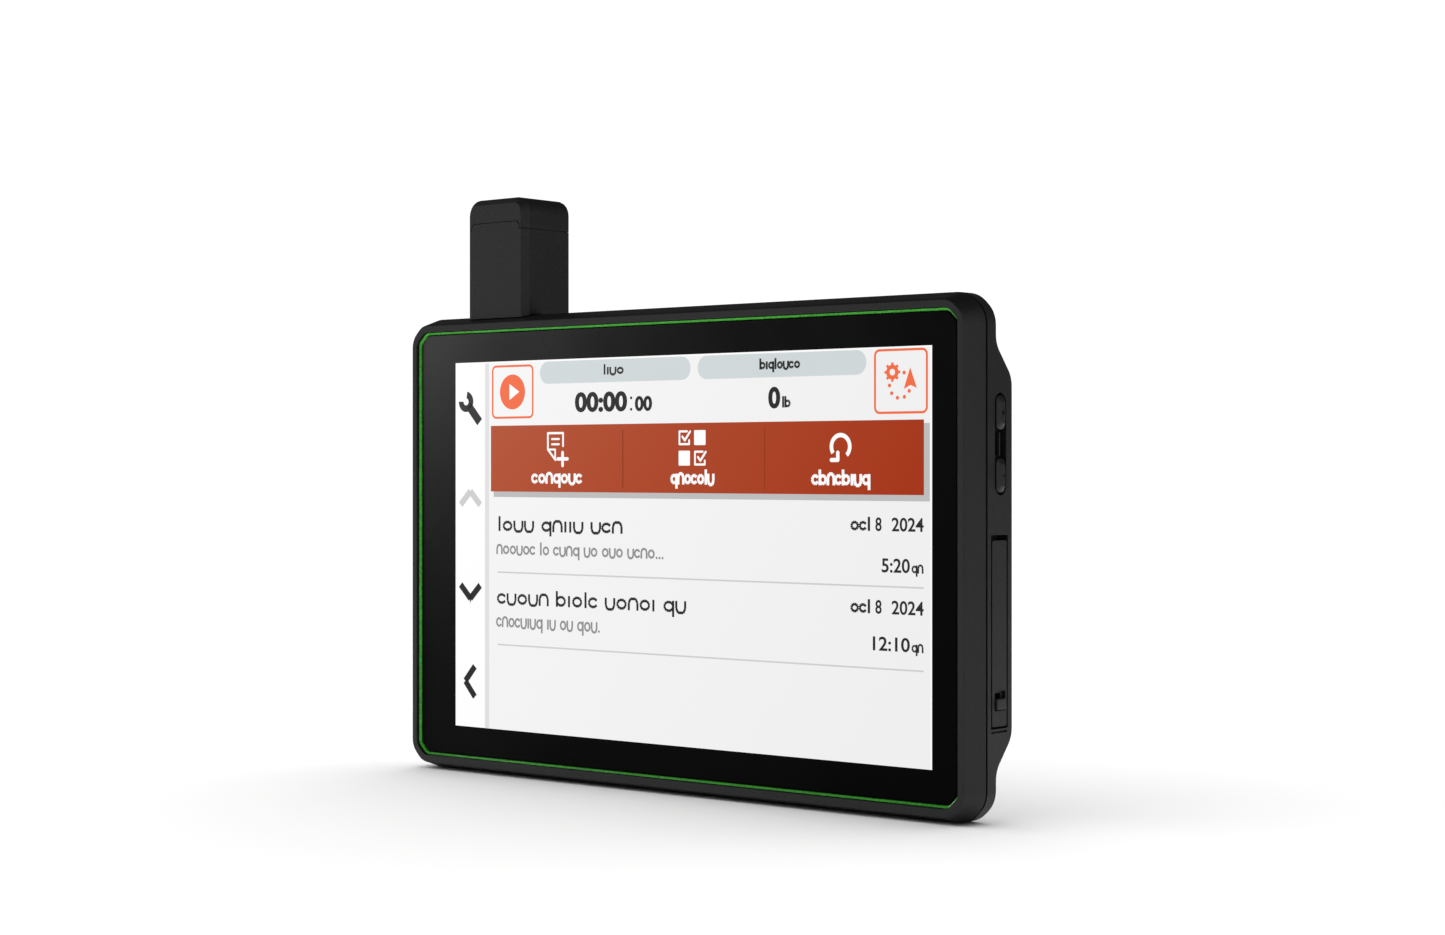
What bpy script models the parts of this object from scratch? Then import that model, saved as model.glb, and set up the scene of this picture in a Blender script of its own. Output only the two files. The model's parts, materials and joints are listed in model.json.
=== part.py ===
"""A rugged 8-inch off-road navigator with a satellite antenna tower, as an assembly of its real pieces.

Lengths below are millimetres and angles degrees. Pieces are modelled in the body frame: X to the
right, Y from the front glass to the back, Z up, with the glass's front face at Y 0 and the housing's
middle at X 0, Z 0. The empty "navigator" carries that frame to the row frame, whose origin is the
middle of the object's box at its lowest point.
"""

from math import cos, pi, radians, sin, tan

import bmesh
import bpy
from mathutils import Matrix, Vector

MM = 0.001
GAP = 0.3  # between pieces that rest on each other

# Front: cover glass, printed border and lit screen
GLASS_WIDTH = 194.5
GLASS_HEIGHT = 124.8
GLASS_THICK = 1.0
GLASS_LEG, GLASS_ROUND = 2.7, 2.2  # leg of the corner's 45-degree cut, and where it meets the sides
SCREEN_WIDTH = GLASS_WIDTH - 22.2  # the printed border takes the rest
SCREEN_HEIGHT = GLASS_HEIGHT - 17.1
SCREEN_X = 3.4  # the lit screen sits right of the glass's middle
PANEL_RIM = 4.0  # what the display has around its lit area
PANEL_CORNER = 2.4

# Bezel, measured outwards from the glass's edge
TRIM_NEAR, TRIM_FAR, TRIM_TOP = 0.2, 0.75, -0.45
RIM_NEAR, RIM_FAR, RIM_TOP = 0.9, 2.7, -1.3
RIM_ROUND = 0.45  # fillet on both sides of the rim
BORDER = 5.05  # from the glass's edge to the body's side
HALF_W = GLASS_WIDTH / 2 + BORDER
HALF_H = GLASS_HEIGHT / 2 + BORDER
SLOPE_END = 5.1  # Y where the bezel's sloping side ends
LEDGE = 3.3  # how far the bezel's ledge reaches under the glass
SEAL_THICK = 0.3
BEZEL_BACK = 5.4
BODY_LEG = 5.3  # leg of the body's corner cut
BODY_ROUND = 7.6  # where that cut meets the sides

# Rear housing
SEAM = 0.7  # groove between the bezel and the rear housing
FLANGE_BACK = 9.95
HUMP_BACK = 17.2
HUMP_FOOT = HALF_H - 10.9  # |Z| where the back starts to rise to the hump
HUMP_TOP = HUMP_FOOT - 13.0  # |Z| where the hump is flat
HUMP_ROUND = 6.5
WALL = 1.95
SIDE_WALL = 2.6
CAVITY_LEG = 14.0  # leaves solid corners for the housing screws
SCREW_IN = 7.25  # housing screws' distance in from the body's sides

# Mount on the back
BOSS_WIDTH, BOSS_HEIGHT, BOSS_TAPER = 78.0, 64.0, 3.0
BOSS_BACK = HUMP_BACK + 5.4
PLATE_WIDTH, PLATE_HEIGHT, PLATE_THICK = 66.0, 54.0, 2.4
HOLES_X, HOLES_Z = 38.0, 30.0  # four-hole pattern of common vehicle mounts
INSERT_R, INSERT_BORE = 3.0, 2.0
CONTACT_WIDTH, CONTACT_HEIGHT = 22.0, 7.0
PIN_COUNT, PIN_R, PIN_PITCH = 4, 0.9, 5.0

# Volume keys and the door, both in the right side
KEY_Y = 12.0
KEY_LENGTH, KEY_WIDTH = 8.6, 3.7
KEY_Z = {"volume_up": 36.8, "volume_down": 20.8}
KEY_TRAVEL = 0.7
KEY_ROOM = 0.75  # between a key and its recess
KEY_PROUD = 0.9  # keys stand this far out of the side face
KEY_SUNK = 1.5  # and reach this far under it, without their stems
KEY_SLOPE = 0.95  # leg of the slope round a key's face
KEY_TAPER = 1.5  # the same at its two ends
RECESS_DEEP = 2.6
STEM_LONG, STEM_WIDE = 4.0, 2.0
STEM_REACH = 5.2  # how far under the side face a stem's end lies
RIB_THICK, RIB_SUNK = 0.5, 0.3  # the rib between the keys

DOOR_FRONT, DOOR_BACK = 8.2, HUMP_BACK - 2.4  # Y
DOOR_LOW, DOOR_HIGH = 24.55 - HALF_H, 4.3  # Z
DOOR_GAP = 0.55  # round the door's sides and foot
SILL_DROP, SILL_GROOVE, SILL_GROOVE_DEEP = 1.1, 0.5, 0.9  # the groove below the door
DOOR_THICK = 1.4
DOOR_SLOT = 1.4  # room above the door for its edge to swing into
HINGE_DROP = 1.1  # pin below the door's top edge
PIN_IN = 1.2  # pin's depth under the side face
HINGE_PIN_R = 0.5
LATCH_Z = DOOR_LOW + 5.7  # middle of the latch's knob, locked
LATCH_TRAVEL = 1.6
POCKET_LOW, POCKET_HIGH, POCKET_DEEP = DOOR_LOW + 9.9, DOOR_HIGH - 3.5, 9.0
POCKET_RIM = 1.2  # the door seats on this much all round the pocket
KNUCKLE_R = 1.15
SEAL_WALL, SEAL_REACH = 0.8, 1.85
LATCH_Y = 11.8
KNOB_HIGH, KNOB_WIDE, KNOB_PROUD = 2.9, 4.2, 0.6
LATCH_RECESS = 0.85
STEM_HIGH, STEM_BROAD = 1.6, 2.0
BOLT_THICK, BOLT_UP, BOLT_DOWN = 0.8, 0.9, 5.8

# Power key in the top
POWER_X, POWER_LENGTH, POWER_WIDTH = HALF_W - 43.95, 12.0, 1.8
POWER_Y = 7.9
POWER_TRAVEL = 0.6
POWER_INSET, POWER_THICK, POWER_RECESS = 0.1, 0.85, 1.9
POWER_STEM = 4.6  # under the top face

# Antenna tower
TOWER_X, TOWER_WIDTH = 34.0 - HALF_W, 24.7
TOWER_FRONT, TOWER_BACK = 2.0, HUMP_BACK + 4.3
TOWER_SEAM = HALF_H + 25.2  # Z of the joint between the tower and its cap
TOWER_TOP = TOWER_SEAM + 9.4
TOWER_CHAMFER = 1.8
TOWER_ROUND = 4.5  # on the top's two sides
TOWER_BACK_ROUND = 1.6
TOWER_WALL = 1.8
TONGUE_RISE, TONGUE_SIDE = 2.2, 2.6  # the tower's front tongue that the cap is notched for
ROOT_BACK, ROOT_FOOT = HUMP_BACK - 0.3, HUMP_TOP - 8.0  # the housing's block under the tower: Y, Z
FOOT_LOW, FOOT_THICK, FOOT_SIDE = HALF_H - 18.1, 2.7, 2.3  # the tower's foot behind that block
LIP_IN, LIP_DEEP = 1.2, 3.0
CAP_GAP = 0.15  # the cap closes down to this much
COIL_R, COIL_WIRE, COIL_TURNS = 4.2, 0.45, 5
COAX_R, COAX_Y = 0.6, 12.4

# Fasteners
SCREW_R, SCREW_HEAD_R, SCREW_HEAD = 1.0, 1.9, 1.3
SCREW_SUNK = 1.8  # how deep the heads' counterbores are
SCREW_TIP = 2.9  # Y of the housing screws' ends, inside the bezel
INSERT_LONG = 5.0
DOCK_SCREW_X, DOCK_SCREW_Z = 28.0, 21.5
DOCK_SUNK = 1.5

# Inside
PANEL_THICK, TRAY_THICK = 2.4, 1.0
BOARD_FRONT, BOARD_THICK = 6.6, 1.0
BOARD_X, BOARD_HIGH = (-60.0, HALF_W - 14.95), 84.0
BATTERY_X, BATTERY_HEIGHT = (8.95 - HALF_W, -6.0), 78.0
USB_YZ = ((10.0, 13.2), (POCKET_HIGH - 13.8, POCKET_HIGH - 4.8))
CARD_YZ = ((10.1, 12.5), (POCKET_LOW + 2.0, POCKET_LOW + 15.0))
VENT_R, VENT_PLACE = 2.6, (HALF_W - 41.95, -20.0)
SPEAKER_PLACE, SPEAKER_R = (HALF_W - 37.95, 22.0), 9.5

HOUSING_FRONT = BEZEL_BACK + SEAM
PLATE_BACK = BOSS_BACK + GAP + PLATE_THICK
CAVITY_BACK = HUMP_BACK - WALL
LEDGE_TOP = GLASS_THICK + 2 * GAP + SEAL_THICK
BODY_MIDDLE_X = KEY_PROUD / 2  # the keys stand furthest out, on one side only
BODY_MIDDLE_Y = (RIM_TOP + PLATE_BACK) / 2
INSERT_FRONT = BOSS_BACK - GAP - INSERT_LONG
FOOT_BACK = ROOT_BACK + 0.4 + FOOT_THICK

COLOURS = {
    "black_plastic": ((0.020, 0.020, 0.021, 1), 0.55, 0.0),
    "rubber": ((0.012, 0.012, 0.012, 1), 0.8, 0.0),
    "green_trim": ((0.035, 0.30, 0.02, 1), 0.35, 0.0),
    "glass": ((0.01, 0.01, 0.012, 1), 0.05, 0.0),
    "display": ((0.9, 0.9, 0.9, 1), 0.3, 0.0),
    "steel": ((0.55, 0.55, 0.56, 1), 0.35, 1.0),
    "brass": ((0.72, 0.52, 0.22, 1), 0.3, 1.0),
    "gold": ((0.85, 0.62, 0.22, 1), 0.25, 1.0),
    "circuit_board": ((0.01, 0.09, 0.04, 1), 0.5, 0.0),
    "foil": ((0.6, 0.6, 0.6, 1), 0.4, 0.8),
    "amber_film": ((0.45, 0.2, 0.03, 1), 0.4, 0.0),
    "ceramic": ((0.75, 0.72, 0.66, 1), 0.5, 0.0),
}


# ---------------------------------------------------------------- scene and objects


def clear_scene():
    for obj in list(bpy.data.objects):
        bpy.data.objects.remove(obj)
    for collection in list(bpy.data.collections):
        bpy.data.collections.remove(collection)


def new_collection(name):
    collection = bpy.data.collections.new(name)
    bpy.context.scene.collection.children.link(collection)
    return collection


def empty(name, place, parent=None):
    """An empty at a place given in the body frame, or in its parent's frame if it has one."""
    obj = bpy.data.objects.new(name, None)
    obj.empty_display_size = 10 * MM
    obj.location = Vector(place) * MM
    obj.parent = parent
    obj["pivot"] = place if parent else (0, 0, 0)
    parts.objects.link(obj)
    return obj


def material(kind):
    found = bpy.data.materials.get(kind)
    if found:
        return found
    colour, roughness, metallic = COLOURS[kind]
    made = bpy.data.materials.new(kind)
    made.use_nodes = True
    shader = made.node_tree.nodes["Principled BSDF"]
    shader.inputs["Base Color"].default_value = colour
    shader.inputs["Roughness"].default_value = roughness
    shader.inputs["Metallic"].default_value = metallic
    return made


def mesh_object(name, bm, collection, parent, pivot):
    """An object whose origin is at pivot, made from a bmesh in body-frame millimetres."""
    bmesh.ops.recalc_face_normals(bm, faces=bm.faces)
    bmesh.ops.translate(bm, verts=bm.verts, vec=-Vector(pivot))
    bmesh.ops.scale(bm, verts=bm.verts, vec=(MM, MM, MM))
    mesh = bpy.data.meshes.new(name)
    bm.to_mesh(mesh)
    bm.free()
    obj = bpy.data.objects.new(name, mesh)
    collection.objects.link(obj)
    obj.parent = parent
    obj.location = (Vector(pivot) - Vector(parent["pivot"])) * MM
    return obj


def piece(name, bm, kind, parent=None, pivot=(0, 0, 0), smooth=35):
    """A piece of the object: one node."""
    obj = mesh_object(name, bm, parts, parent or body, pivot)
    obj.data.materials.append(material(kind))
    obj.data.shade_smooth()
    obj.data.set_sharp_from_angle(angle=radians(smooth))
    return obj


def cutter(name, bm):
    obj = mesh_object(name, bm, cutters, body, (0, 0, 0))
    obj.hide_render = True
    obj.display_type = "WIRE"
    return obj


def boolean(obj, other, operation="DIFFERENCE"):
    modifier = obj.modifiers.new(f"{operation.lower()}_{other.name}", "BOOLEAN")
    modifier.operation = operation
    modifier.object = other
    modifier.solver = "EXACT"


# ---------------------------------------------------------------- shapes, as bmeshes in millimetres


def box(low, high):
    """A box between two corners."""
    bm = bmesh.new()
    size = Vector(high) - Vector(low)
    middle = (Vector(high) + Vector(low)) / 2
    bmesh.ops.create_cube(bm, size=1, matrix=Matrix.Translation(middle) @ Matrix.Diagonal((*size, 1)))
    return bm


def slab(x, y, z):
    """A box from its ranges along X, Y and Z."""
    return box((x[0], y[0], z[0]), (x[1], y[1], z[1]))


def span(middle, length):
    return middle - length / 2, middle + length / 2


def edges_along(bm, axis, where=lambda middle: True):
    """The edges parallel to an axis whose middle passes a test."""
    found = []
    for edge in bm.edges:
        run = (edge.verts[1].co - edge.verts[0].co).normalized()
        middle = (edge.verts[0].co + edge.verts[1].co) / 2
        if abs(run[axis]) > 0.999 and where(middle):
            found.append(edge)
    return found


def bevel(bm, edges, width, steps=1):
    bmesh.ops.bevel(
        bm, geom=edges, offset=width, offset_type="OFFSET", segments=steps, profile=0.5, affect="EDGES", material=-1
    )
    return bm


def rounded_slab(x, y, z, axis, radius, steps=3):
    """A box whose four edges along one axis are rounded."""
    bm = slab(x, y, z)
    return bevel(bm, edges_along(bm, axis), radius, steps)


def rod(radius, start, end, axis, across, sides=16):
    """A cylinder along an axis from start to end; across holds its two other coordinates in XYZ order."""
    bm = bmesh.new()
    middle = list(across)
    middle.insert(axis, (start + end) / 2)
    turn = (Matrix.Rotation(pi / 2, 4, "Y"), Matrix.Rotation(pi / 2, 4, "X"), Matrix.Identity(4))[axis]
    bmesh.ops.create_cone(
        bm,
        cap_ends=True,
        segments=sides,
        radius1=radius,
        radius2=radius,
        depth=abs(end - start),
        matrix=Matrix.Translation(middle) @ turn,
    )
    return bm


def joined(*shapes):
    """Several bmeshes in one, for a cutter or for pieces that a Boolean then joins."""
    whole = bmesh.new()
    for bm in shapes:
        part = bpy.data.meshes.new("part")
        bm.to_mesh(part)
        bm.free()
        whole.from_mesh(part)
        bpy.data.meshes.remove(part)
    return whole


def corner_outline(half_w, half_h, leg, radius, steps=5):
    """(x, z) round a rectangle whose corners are 45-degree cuts with both ends rounded."""
    radius = min(radius, 1.6 * leg)
    tangent = radius * tan(pi / 8)
    quarter = []
    for cx, cz, start in (
        (half_w - radius, half_h - leg - tangent, 0),
        (half_w - leg - tangent, half_h - radius, pi / 4),
    ):
        for i in range(steps + 1):
            angle = start + pi / 4 * i / steps
            quarter.append((cx + radius * cos(angle), cz + radius * sin(angle)))
    points = list(quarter)
    points += [(-x, z) for x, z in reversed(quarter)]
    points += [(-x, -z) for x, z in quarter]
    points += [(x, -z) for x, z in reversed(quarter)]
    return points


def corner_leg(offset):
    """The corner cut's leg grows from the glass to the body's side."""
    return GLASS_LEG + (BODY_LEG - GLASS_LEG) * max(offset, 0) / BORDER


def corner_round(offset):
    return GLASS_ROUND + (BODY_ROUND - GLASS_ROUND) * max(offset, 0) / BORDER


def loop_at(offset, y):
    """The outline this far outside the glass's edge, at a depth."""
    points = corner_outline(
        GLASS_WIDTH / 2 + offset, GLASS_HEIGHT / 2 + offset, corner_leg(offset), corner_round(offset)
    )
    return [(x, y, z) for x, z in points]


def loft(loops, ring=False):
    """A solid through loops with the same number of points, capped at its ends or closed into a ring."""
    bm = bmesh.new()
    rows = [[bm.verts.new(point) for point in loop] for loop in loops]
    pairs = list(zip(rows, rows[1:]))
    if ring:
        pairs.append((rows[-1], rows[0]))
    for near, far in pairs:
        for i in range(len(near)):
            j = (i + 1) % len(near)
            bm.faces.new((near[i], near[j], far[j], far[i]))
    if not ring:
        bm.faces.new(rows[0])
        bm.faces.new(rows[-1])
    return bm


def frame_ring(section):
    """A frame round the glass, from its section as (offset from the glass's edge, y) points."""
    return loft([loop_at(offset, y) for offset, y in section], ring=True)


def extruded_side(profile, half_width, middle=0.0):
    """A solid from a (y, z) outline, run along X."""
    loops = [[(middle + x, y, z) for y, z in profile] for x in (-half_width, half_width)]
    return loft(loops)


def hump_rise(foot, top, low_y, high_y, radius, steps=7):
    """(y, z) from the flange up to the hump's flat: an arc, a straight and an arc that meet smoothly."""
    run, rise = foot - top, high_y - low_y
    radius = min(radius, 0.48 * run)
    low, high = 0.0, pi / 2
    for _ in range(50):  # halve the range of slopes until the two arcs and the straight fit
        angle = (low + high) / 2
        straight = (run - 2 * radius * sin(angle)) / cos(angle)
        reach = 2 * radius * (1 - cos(angle)) + straight * sin(angle)
        low, high = (angle, high) if reach < rise else (low, angle)
    points = []
    for i in range(steps + 1):
        turn = angle * i / steps
        points.append((low_y + radius * (1 - cos(turn)), foot - radius * sin(turn)))
    for i in range(steps + 1):
        turn = angle * (steps - i) / steps
        points.append((high_y - radius * (1 - cos(turn)), top + radius * sin(turn)))
    return points


def back_profile(half_h, front, flange, hump, shrink):
    """(y, z) outline of the rear housing's side, or of its cavity when shrink moves the rise inwards."""
    upper = [(front, half_h), (flange, half_h)]
    upper += hump_rise(HUMP_FOOT - shrink, HUMP_TOP - shrink, flange, hump, HUMP_ROUND)
    return upper + [(y, -z) for y, z in reversed(upper)]


def housing_prism(half_w, half_h, leg, low_y, high_y):
    points = corner_outline(half_w, half_h, leg, BODY_ROUND)
    return loft([[(x, y, z) for x, z in points] for y in (low_y, high_y)])


def turned(profile, axis, place, sides=16):
    """A solid turned from (radius, height) points, from the axis round to the axis again."""
    bm = bmesh.new()
    verts = [bm.verts.new((radius, 0, height)) for radius, height in profile]
    chain = [bm.edges.new(pair) for pair in zip(verts, verts[1:])]
    bmesh.ops.spin(
        bm, geom=verts + chain, cent=(0, 0, 0), axis=(0, 0, 1), dvec=(0, 0, 0), angle=2 * pi, steps=sides, use_merge=True
    )
    bmesh.ops.remove_doubles(bm, verts=bm.verts, dist=0.001)
    turn = (Matrix.Rotation(pi / 2, 4, "Y"), Matrix.Rotation(-pi / 2, 4, "X"), Matrix.Identity(4))[axis]
    bmesh.ops.transform(bm, matrix=Matrix.Translation(place) @ turn, verts=bm.verts)
    return bm


def hollow_box(x, y, z, wall, open_side):
    """A box with one open side, named by its axis and end, such as (1, 0) for the low end of Y."""
    ranges = [list(x), list(y), list(z)]
    shell = slab(*ranges)
    axis, end = open_side
    inner = [[low + wall, high - wall] for low, high in ranges]
    inner[axis][end] = ranges[axis][end] + (wall if end else -wall)
    return shell, slab(*inner)


# ---------------------------------------------------------------- front


def front_bezel():
    section = [
        (RIM_NEAR, RIM_TOP + 0.15),
        (RIM_NEAR + 0.15, RIM_TOP),
        (RIM_FAR, RIM_TOP),
        (RIM_FAR + RIM_ROUND, RIM_TOP + RIM_ROUND),
        (BORDER, SLOPE_END),
        (BORDER, BEZEL_BACK),
        (-LEDGE, BEZEL_BACK),
        (-LEDGE, LEDGE_TOP),
        (RIM_NEAR, LEDGE_TOP),
    ]
    bezel = piece("front_bezel", frame_ring(section), "black_plastic")
    holes = [rod(SCREW_R + GAP, SCREW_TIP - GAP, BEZEL_BACK + 2, 1, place) for place in housing_screw_places()]
    boolean(bezel, cutter("bezel_screw_holes", joined(*holes)))


def trim_ring():
    section = [
        (TRIM_NEAR, 0.1),
        (TRIM_FAR, TRIM_TOP),
        (TRIM_FAR, LEDGE_TOP - GAP),
        (TRIM_NEAR, LEDGE_TOP - GAP),
    ]
    piece("trim_ring", frame_ring(section), "green_trim")


def cover_glass():
    loops = [loop_at(TRIM_NEAR - GAP, 0), loop_at(TRIM_NEAR - GAP, GLASS_THICK)]
    piece("cover_glass", loft(loops), "glass")
    near, far = GLASS_THICK + GAP, LEDGE_TOP - GAP
    section = [(-LEDGE + 0.4, near), (-0.6, near), (-0.6, far), (-LEDGE + 0.4, far)]
    piece("glass_seal", frame_ring(section), "rubber")


def display():
    half_w, half_h = SCREEN_WIDTH / 2 + PANEL_RIM, SCREEN_HEIGHT / 2 + PANEL_RIM
    x, z = span(SCREEN_X, 2 * half_w), span(0, 2 * half_h)
    front = GLASS_THICK + GAP
    panel = slab(x, (front, front + PANEL_THICK), z)
    piece("display_panel", bevel(panel, edges_along(panel, 1), PANEL_CORNER), "display")
    front += PANEL_THICK + GAP
    tray = slab(x, (front, front + TRAY_THICK), z)
    tray = piece("display_tray", bevel(tray, edges_along(tray, 1), PANEL_CORNER), "steel")
    windows = [
        slab(span(SCREEN_X + side * half_w / 2, 0.7 * half_w), (front + 0.4, front + 5), span(0, 1.4 * half_h))
        for side in (-1, 1)
    ]
    boolean(tray, cutter("display_tray_windows", joined(*windows)))
    flex_y = front + TRAY_THICK + GAP
    piece("display_flex", slab((-22, 6), (flex_y, flex_y + 0.3), (-52, -18)), "amber_film")


def housing_gasket():
    near, far = BEZEL_BACK + SEAM / 2 - 0.15, BEZEL_BACK + SEAM / 2 + 0.15
    inner, outer = 0.6, 1.9
    piece("housing_gasket", frame_ring([(inner, near), (outer, near), (outer, far), (inner, far)]), "rubber")


# ---------------------------------------------------------------- rear housing


def housing_screw_places():
    """(x, z) of the four screws that hold the rear housing to the bezel."""
    x, z = HALF_W - SCREW_IN, HALF_H - SCREW_IN
    return [(-x, z), (x, z), (x, -z), (-x, -z)]


def dock_corners(x, z):
    return [(-x, z), (x, z), (x, -z), (-x, -z)]


def cavity_cutter():
    """The room inside the rear housing, less the blocks that the door, the keys and the power key need."""
    outline = back_profile(HALF_H + 5, HOUSING_FRONT - 3, FLANGE_BACK - WALL, CAVITY_BACK, WALL)
    room = cutter("cavity", extruded_side(outline, HALF_W + 5))
    limit = housing_prism(HALF_W - SIDE_WALL, HALF_H - WALL, CAVITY_LEG, HOUSING_FRONT - 6, HUMP_BACK + 6)
    boolean(room, cutter("cavity_limit", limit), "INTERSECT")
    deep = (HOUSING_FRONT - 8, HUMP_BACK + 8)
    door_block = slab((HALF_W - POCKET_DEEP - WALL, HALF_W + 8), deep, (DOOR_LOW - 2.2, DOOR_HIGH + DOOR_SLOT + 2.2))
    key_top, key_low = KEY_Z["volume_up"] + KEY_LENGTH, KEY_Z["volume_down"] - KEY_LENGTH
    key_block = slab((HALF_W - RECESS_DEEP - WALL, HALF_W + 8), deep, (key_low, key_top))
    power_block = slab(span(POWER_X, POWER_LENGTH + 5), deep, (HALF_H - POWER_RECESS - 1.3, HALF_H + 8))
    boolean(room, cutter("cavity_blocks", joined(door_block, key_block, power_block)))
    return room


def root_block():
    """The housing's block under the antenna tower, behind the thin edge."""
    block = slab(span(TOWER_X, TOWER_WIDTH), (FLANGE_BACK - 2, ROOT_BACK), (ROOT_FOOT, HALF_H + 5))
    return bevel(block, edges_along(block, 2, lambda middle: middle.y > FLANGE_BACK), 2.0)


def boss():
    loops = []
    for y, grow in ((HUMP_BACK - 1, 0.0), (BOSS_BACK - 1, 0.85), (BOSS_BACK, 1.15)):
        shrink = BOSS_TAPER * grow
        points = corner_outline(BOSS_WIDTH / 2 - shrink, BOSS_HEIGHT / 2 - shrink, 5, 6, 2)
        loops.append([(x, y, z) for x, z in points])
    return loft(loops)


def rear_cover():
    outline = back_profile(HALF_H + 5, HOUSING_FRONT, FLANGE_BACK, HUMP_BACK, 0)
    cover = piece("rear_cover", extruded_side(outline, HALF_W + 5), "black_plastic")
    boolean(cover, cutter("root_block", root_block()), "UNION")
    limit = housing_prism(HALF_W, HALF_H, BODY_LEG, HOUSING_FRONT - 5, HUMP_BACK + 5)
    boolean(cover, cutter("housing_limit", limit), "INTERSECT")
    boolean(cover, cutter("boss", boss()), "UNION")
    boolean(cover, cavity_cutter())
    for name, shape in (
        ("key_recess", key_recess()),
        ("key_stem_holes", key_stem_holes()),
        ("power_recess", power_recess()),
        ("power_hole", power_hole()),
        ("power_room", power_room()),
        ("door_opening", door_opening()),
        ("door_sill", door_sill()),
        ("hinge_trough", hinge_trough()),
        ("hinge_pin_hole", hinge_pin_hole()),
        ("pocket", pocket()),
        ("latch_room", latch_room()),
        ("socket_holes", socket_holes()),
        ("coax_channel", coax_channel()),
        ("cover_screw_holes", cover_screw_holes()),
        ("dock_holes", dock_holes()),
        ("speaker_slots", speaker_slots()),
    ):
        boolean(cover, cutter(name, shape))
    floor = HALF_W - RECESS_DEEP
    ends = (KEY_Z["volume_down"] + KEY_LENGTH / 2 + KEY_ROOM, KEY_Z["volume_up"] - KEY_LENGTH / 2 - KEY_ROOM)
    rib = slab((floor - 0.5, HALF_W - RIB_SUNK), span(KEY_Y, RIB_THICK), ends)
    boolean(cover, cutter("key_rib", rib), "UNION")


def key_recess():
    half = KEY_LENGTH / 2 + KEY_ROOM
    low, high = KEY_Z["volume_down"] - half, KEY_Z["volume_up"] + half
    width = KEY_WIDTH + 2 * KEY_ROOM
    x = (HALF_W - RECESS_DEEP, HALF_W + 3)
    return rounded_slab(x, span(KEY_Y, width), (low, high), 0, 0.49 * width, 5)


def key_stem_holes():
    holes = []
    for z in KEY_Z.values():
        x = (HALF_W - RECESS_DEEP - WALL - 2, HALF_W - 1)
        holes.append(slab(x, span(KEY_Y, STEM_WIDE + 2 * GAP), span(z, STEM_LONG + 2 * GAP)))
    return joined(*holes)


def power_recess():
    z = (HALF_H - POWER_RECESS, HALF_H + 3)
    width = POWER_WIDTH + 2 * GAP
    return rounded_slab(span(POWER_X, POWER_LENGTH + 2 * GAP), span(POWER_Y, width), z, 2, 0.45 * width)


def power_hole():
    z = (HALF_H - POWER_RECESS - 3, HALF_H - 1)
    return slab(span(POWER_X, STEM_LONG + 2 * GAP), span(POWER_Y, 1.0 + 2 * GAP), z)


def power_room():
    """Where the flange is thin, the power switch needs its own room."""
    low, high = HALF_H - POWER_STEM - 6.5, HALF_H - POWER_RECESS - 1.3
    return slab(span(POWER_X, 8), (HOUSING_FRONT + 0.5, FLANGE_BACK - 1.0), (low, high + 0.01))


def door_opening():
    x = (HALF_W - DOOR_THICK - GAP, HALF_W + 3)
    y = (DOOR_FRONT - DOOR_GAP, DOOR_BACK + DOOR_GAP)
    return rounded_slab(x, y, (DOOR_LOW - DOOR_GAP, DOOR_HIGH + DOOR_SLOT), 0, 0.3, 2)


def door_sill():
    """A groove across the housing, below the door."""
    high = DOOR_LOW - SILL_DROP
    return slab((HALF_W - SILL_GROOVE_DEEP, HALF_W + 3), (DOOR_FRONT - GAP, DOOR_BACK + GAP), (high - SILL_GROOVE, high))


def hinge_axis():
    """(x, z) of the door's hinge."""
    return HALF_W - PIN_IN, DOOR_HIGH - HINGE_DROP


def hinge_trough():
    x, z = hinge_axis()
    corner = (PIN_IN**2 + HINGE_DROP**2) ** 0.5  # how far the leaf's top corner swings round the axis
    return slab(
        (x - corner - GAP, HALF_W - 0.4),
        (DOOR_FRONT - DOOR_GAP + 0.01, DOOR_BACK + DOOR_GAP - 0.01),
        (z - KNUCKLE_R - GAP, DOOR_HIGH + DOOR_SLOT - 0.01),
    )


def hinge_pin_hole():
    return rod(HINGE_PIN_R + GAP, DOOR_FRONT - 1.6, DOOR_BACK + 1.6, 1, hinge_axis(), 12)


def pocket():
    x = (HALF_W - POCKET_DEEP, HALF_W - 0.5)
    return rounded_slab(x, (DOOR_FRONT + POCKET_RIM, DOOR_BACK - POCKET_RIM), (POCKET_LOW, POCKET_HIGH), 0, 0.8, 2)


def latch_room():
    """Behind the leaf, where the latch's bolt slides."""
    inner = HALF_W - DOOR_THICK - GAP - BOLT_THICK - GAP
    high = LATCH_Z + BOLT_UP + LATCH_TRAVEL + GAP
    return slab((inner, HALF_W - 0.5), span(LATCH_Y, STEM_BROAD + 2), (DOOR_LOW - DOOR_GAP + 0.01, high))


def coax_channel():
    return slab(span(TOWER_X, 3.6), span(COAX_Y, 3.6), (HUMP_TOP - 2.5, HALF_H + 3))


def cover_screw_holes():
    holes = []
    for place in housing_screw_places():
        holes.append(stepped_bore(place, HOUSING_FRONT - 2, FLANGE_BACK - SCREW_SUNK, HUMP_BACK))
    for place in antenna_screw_places():
        holes.append(rod(SCREW_R + GAP, ROOT_BACK - 5.2, ROOT_BACK + 2, 1, place))
    return joined(*holes)


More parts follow.
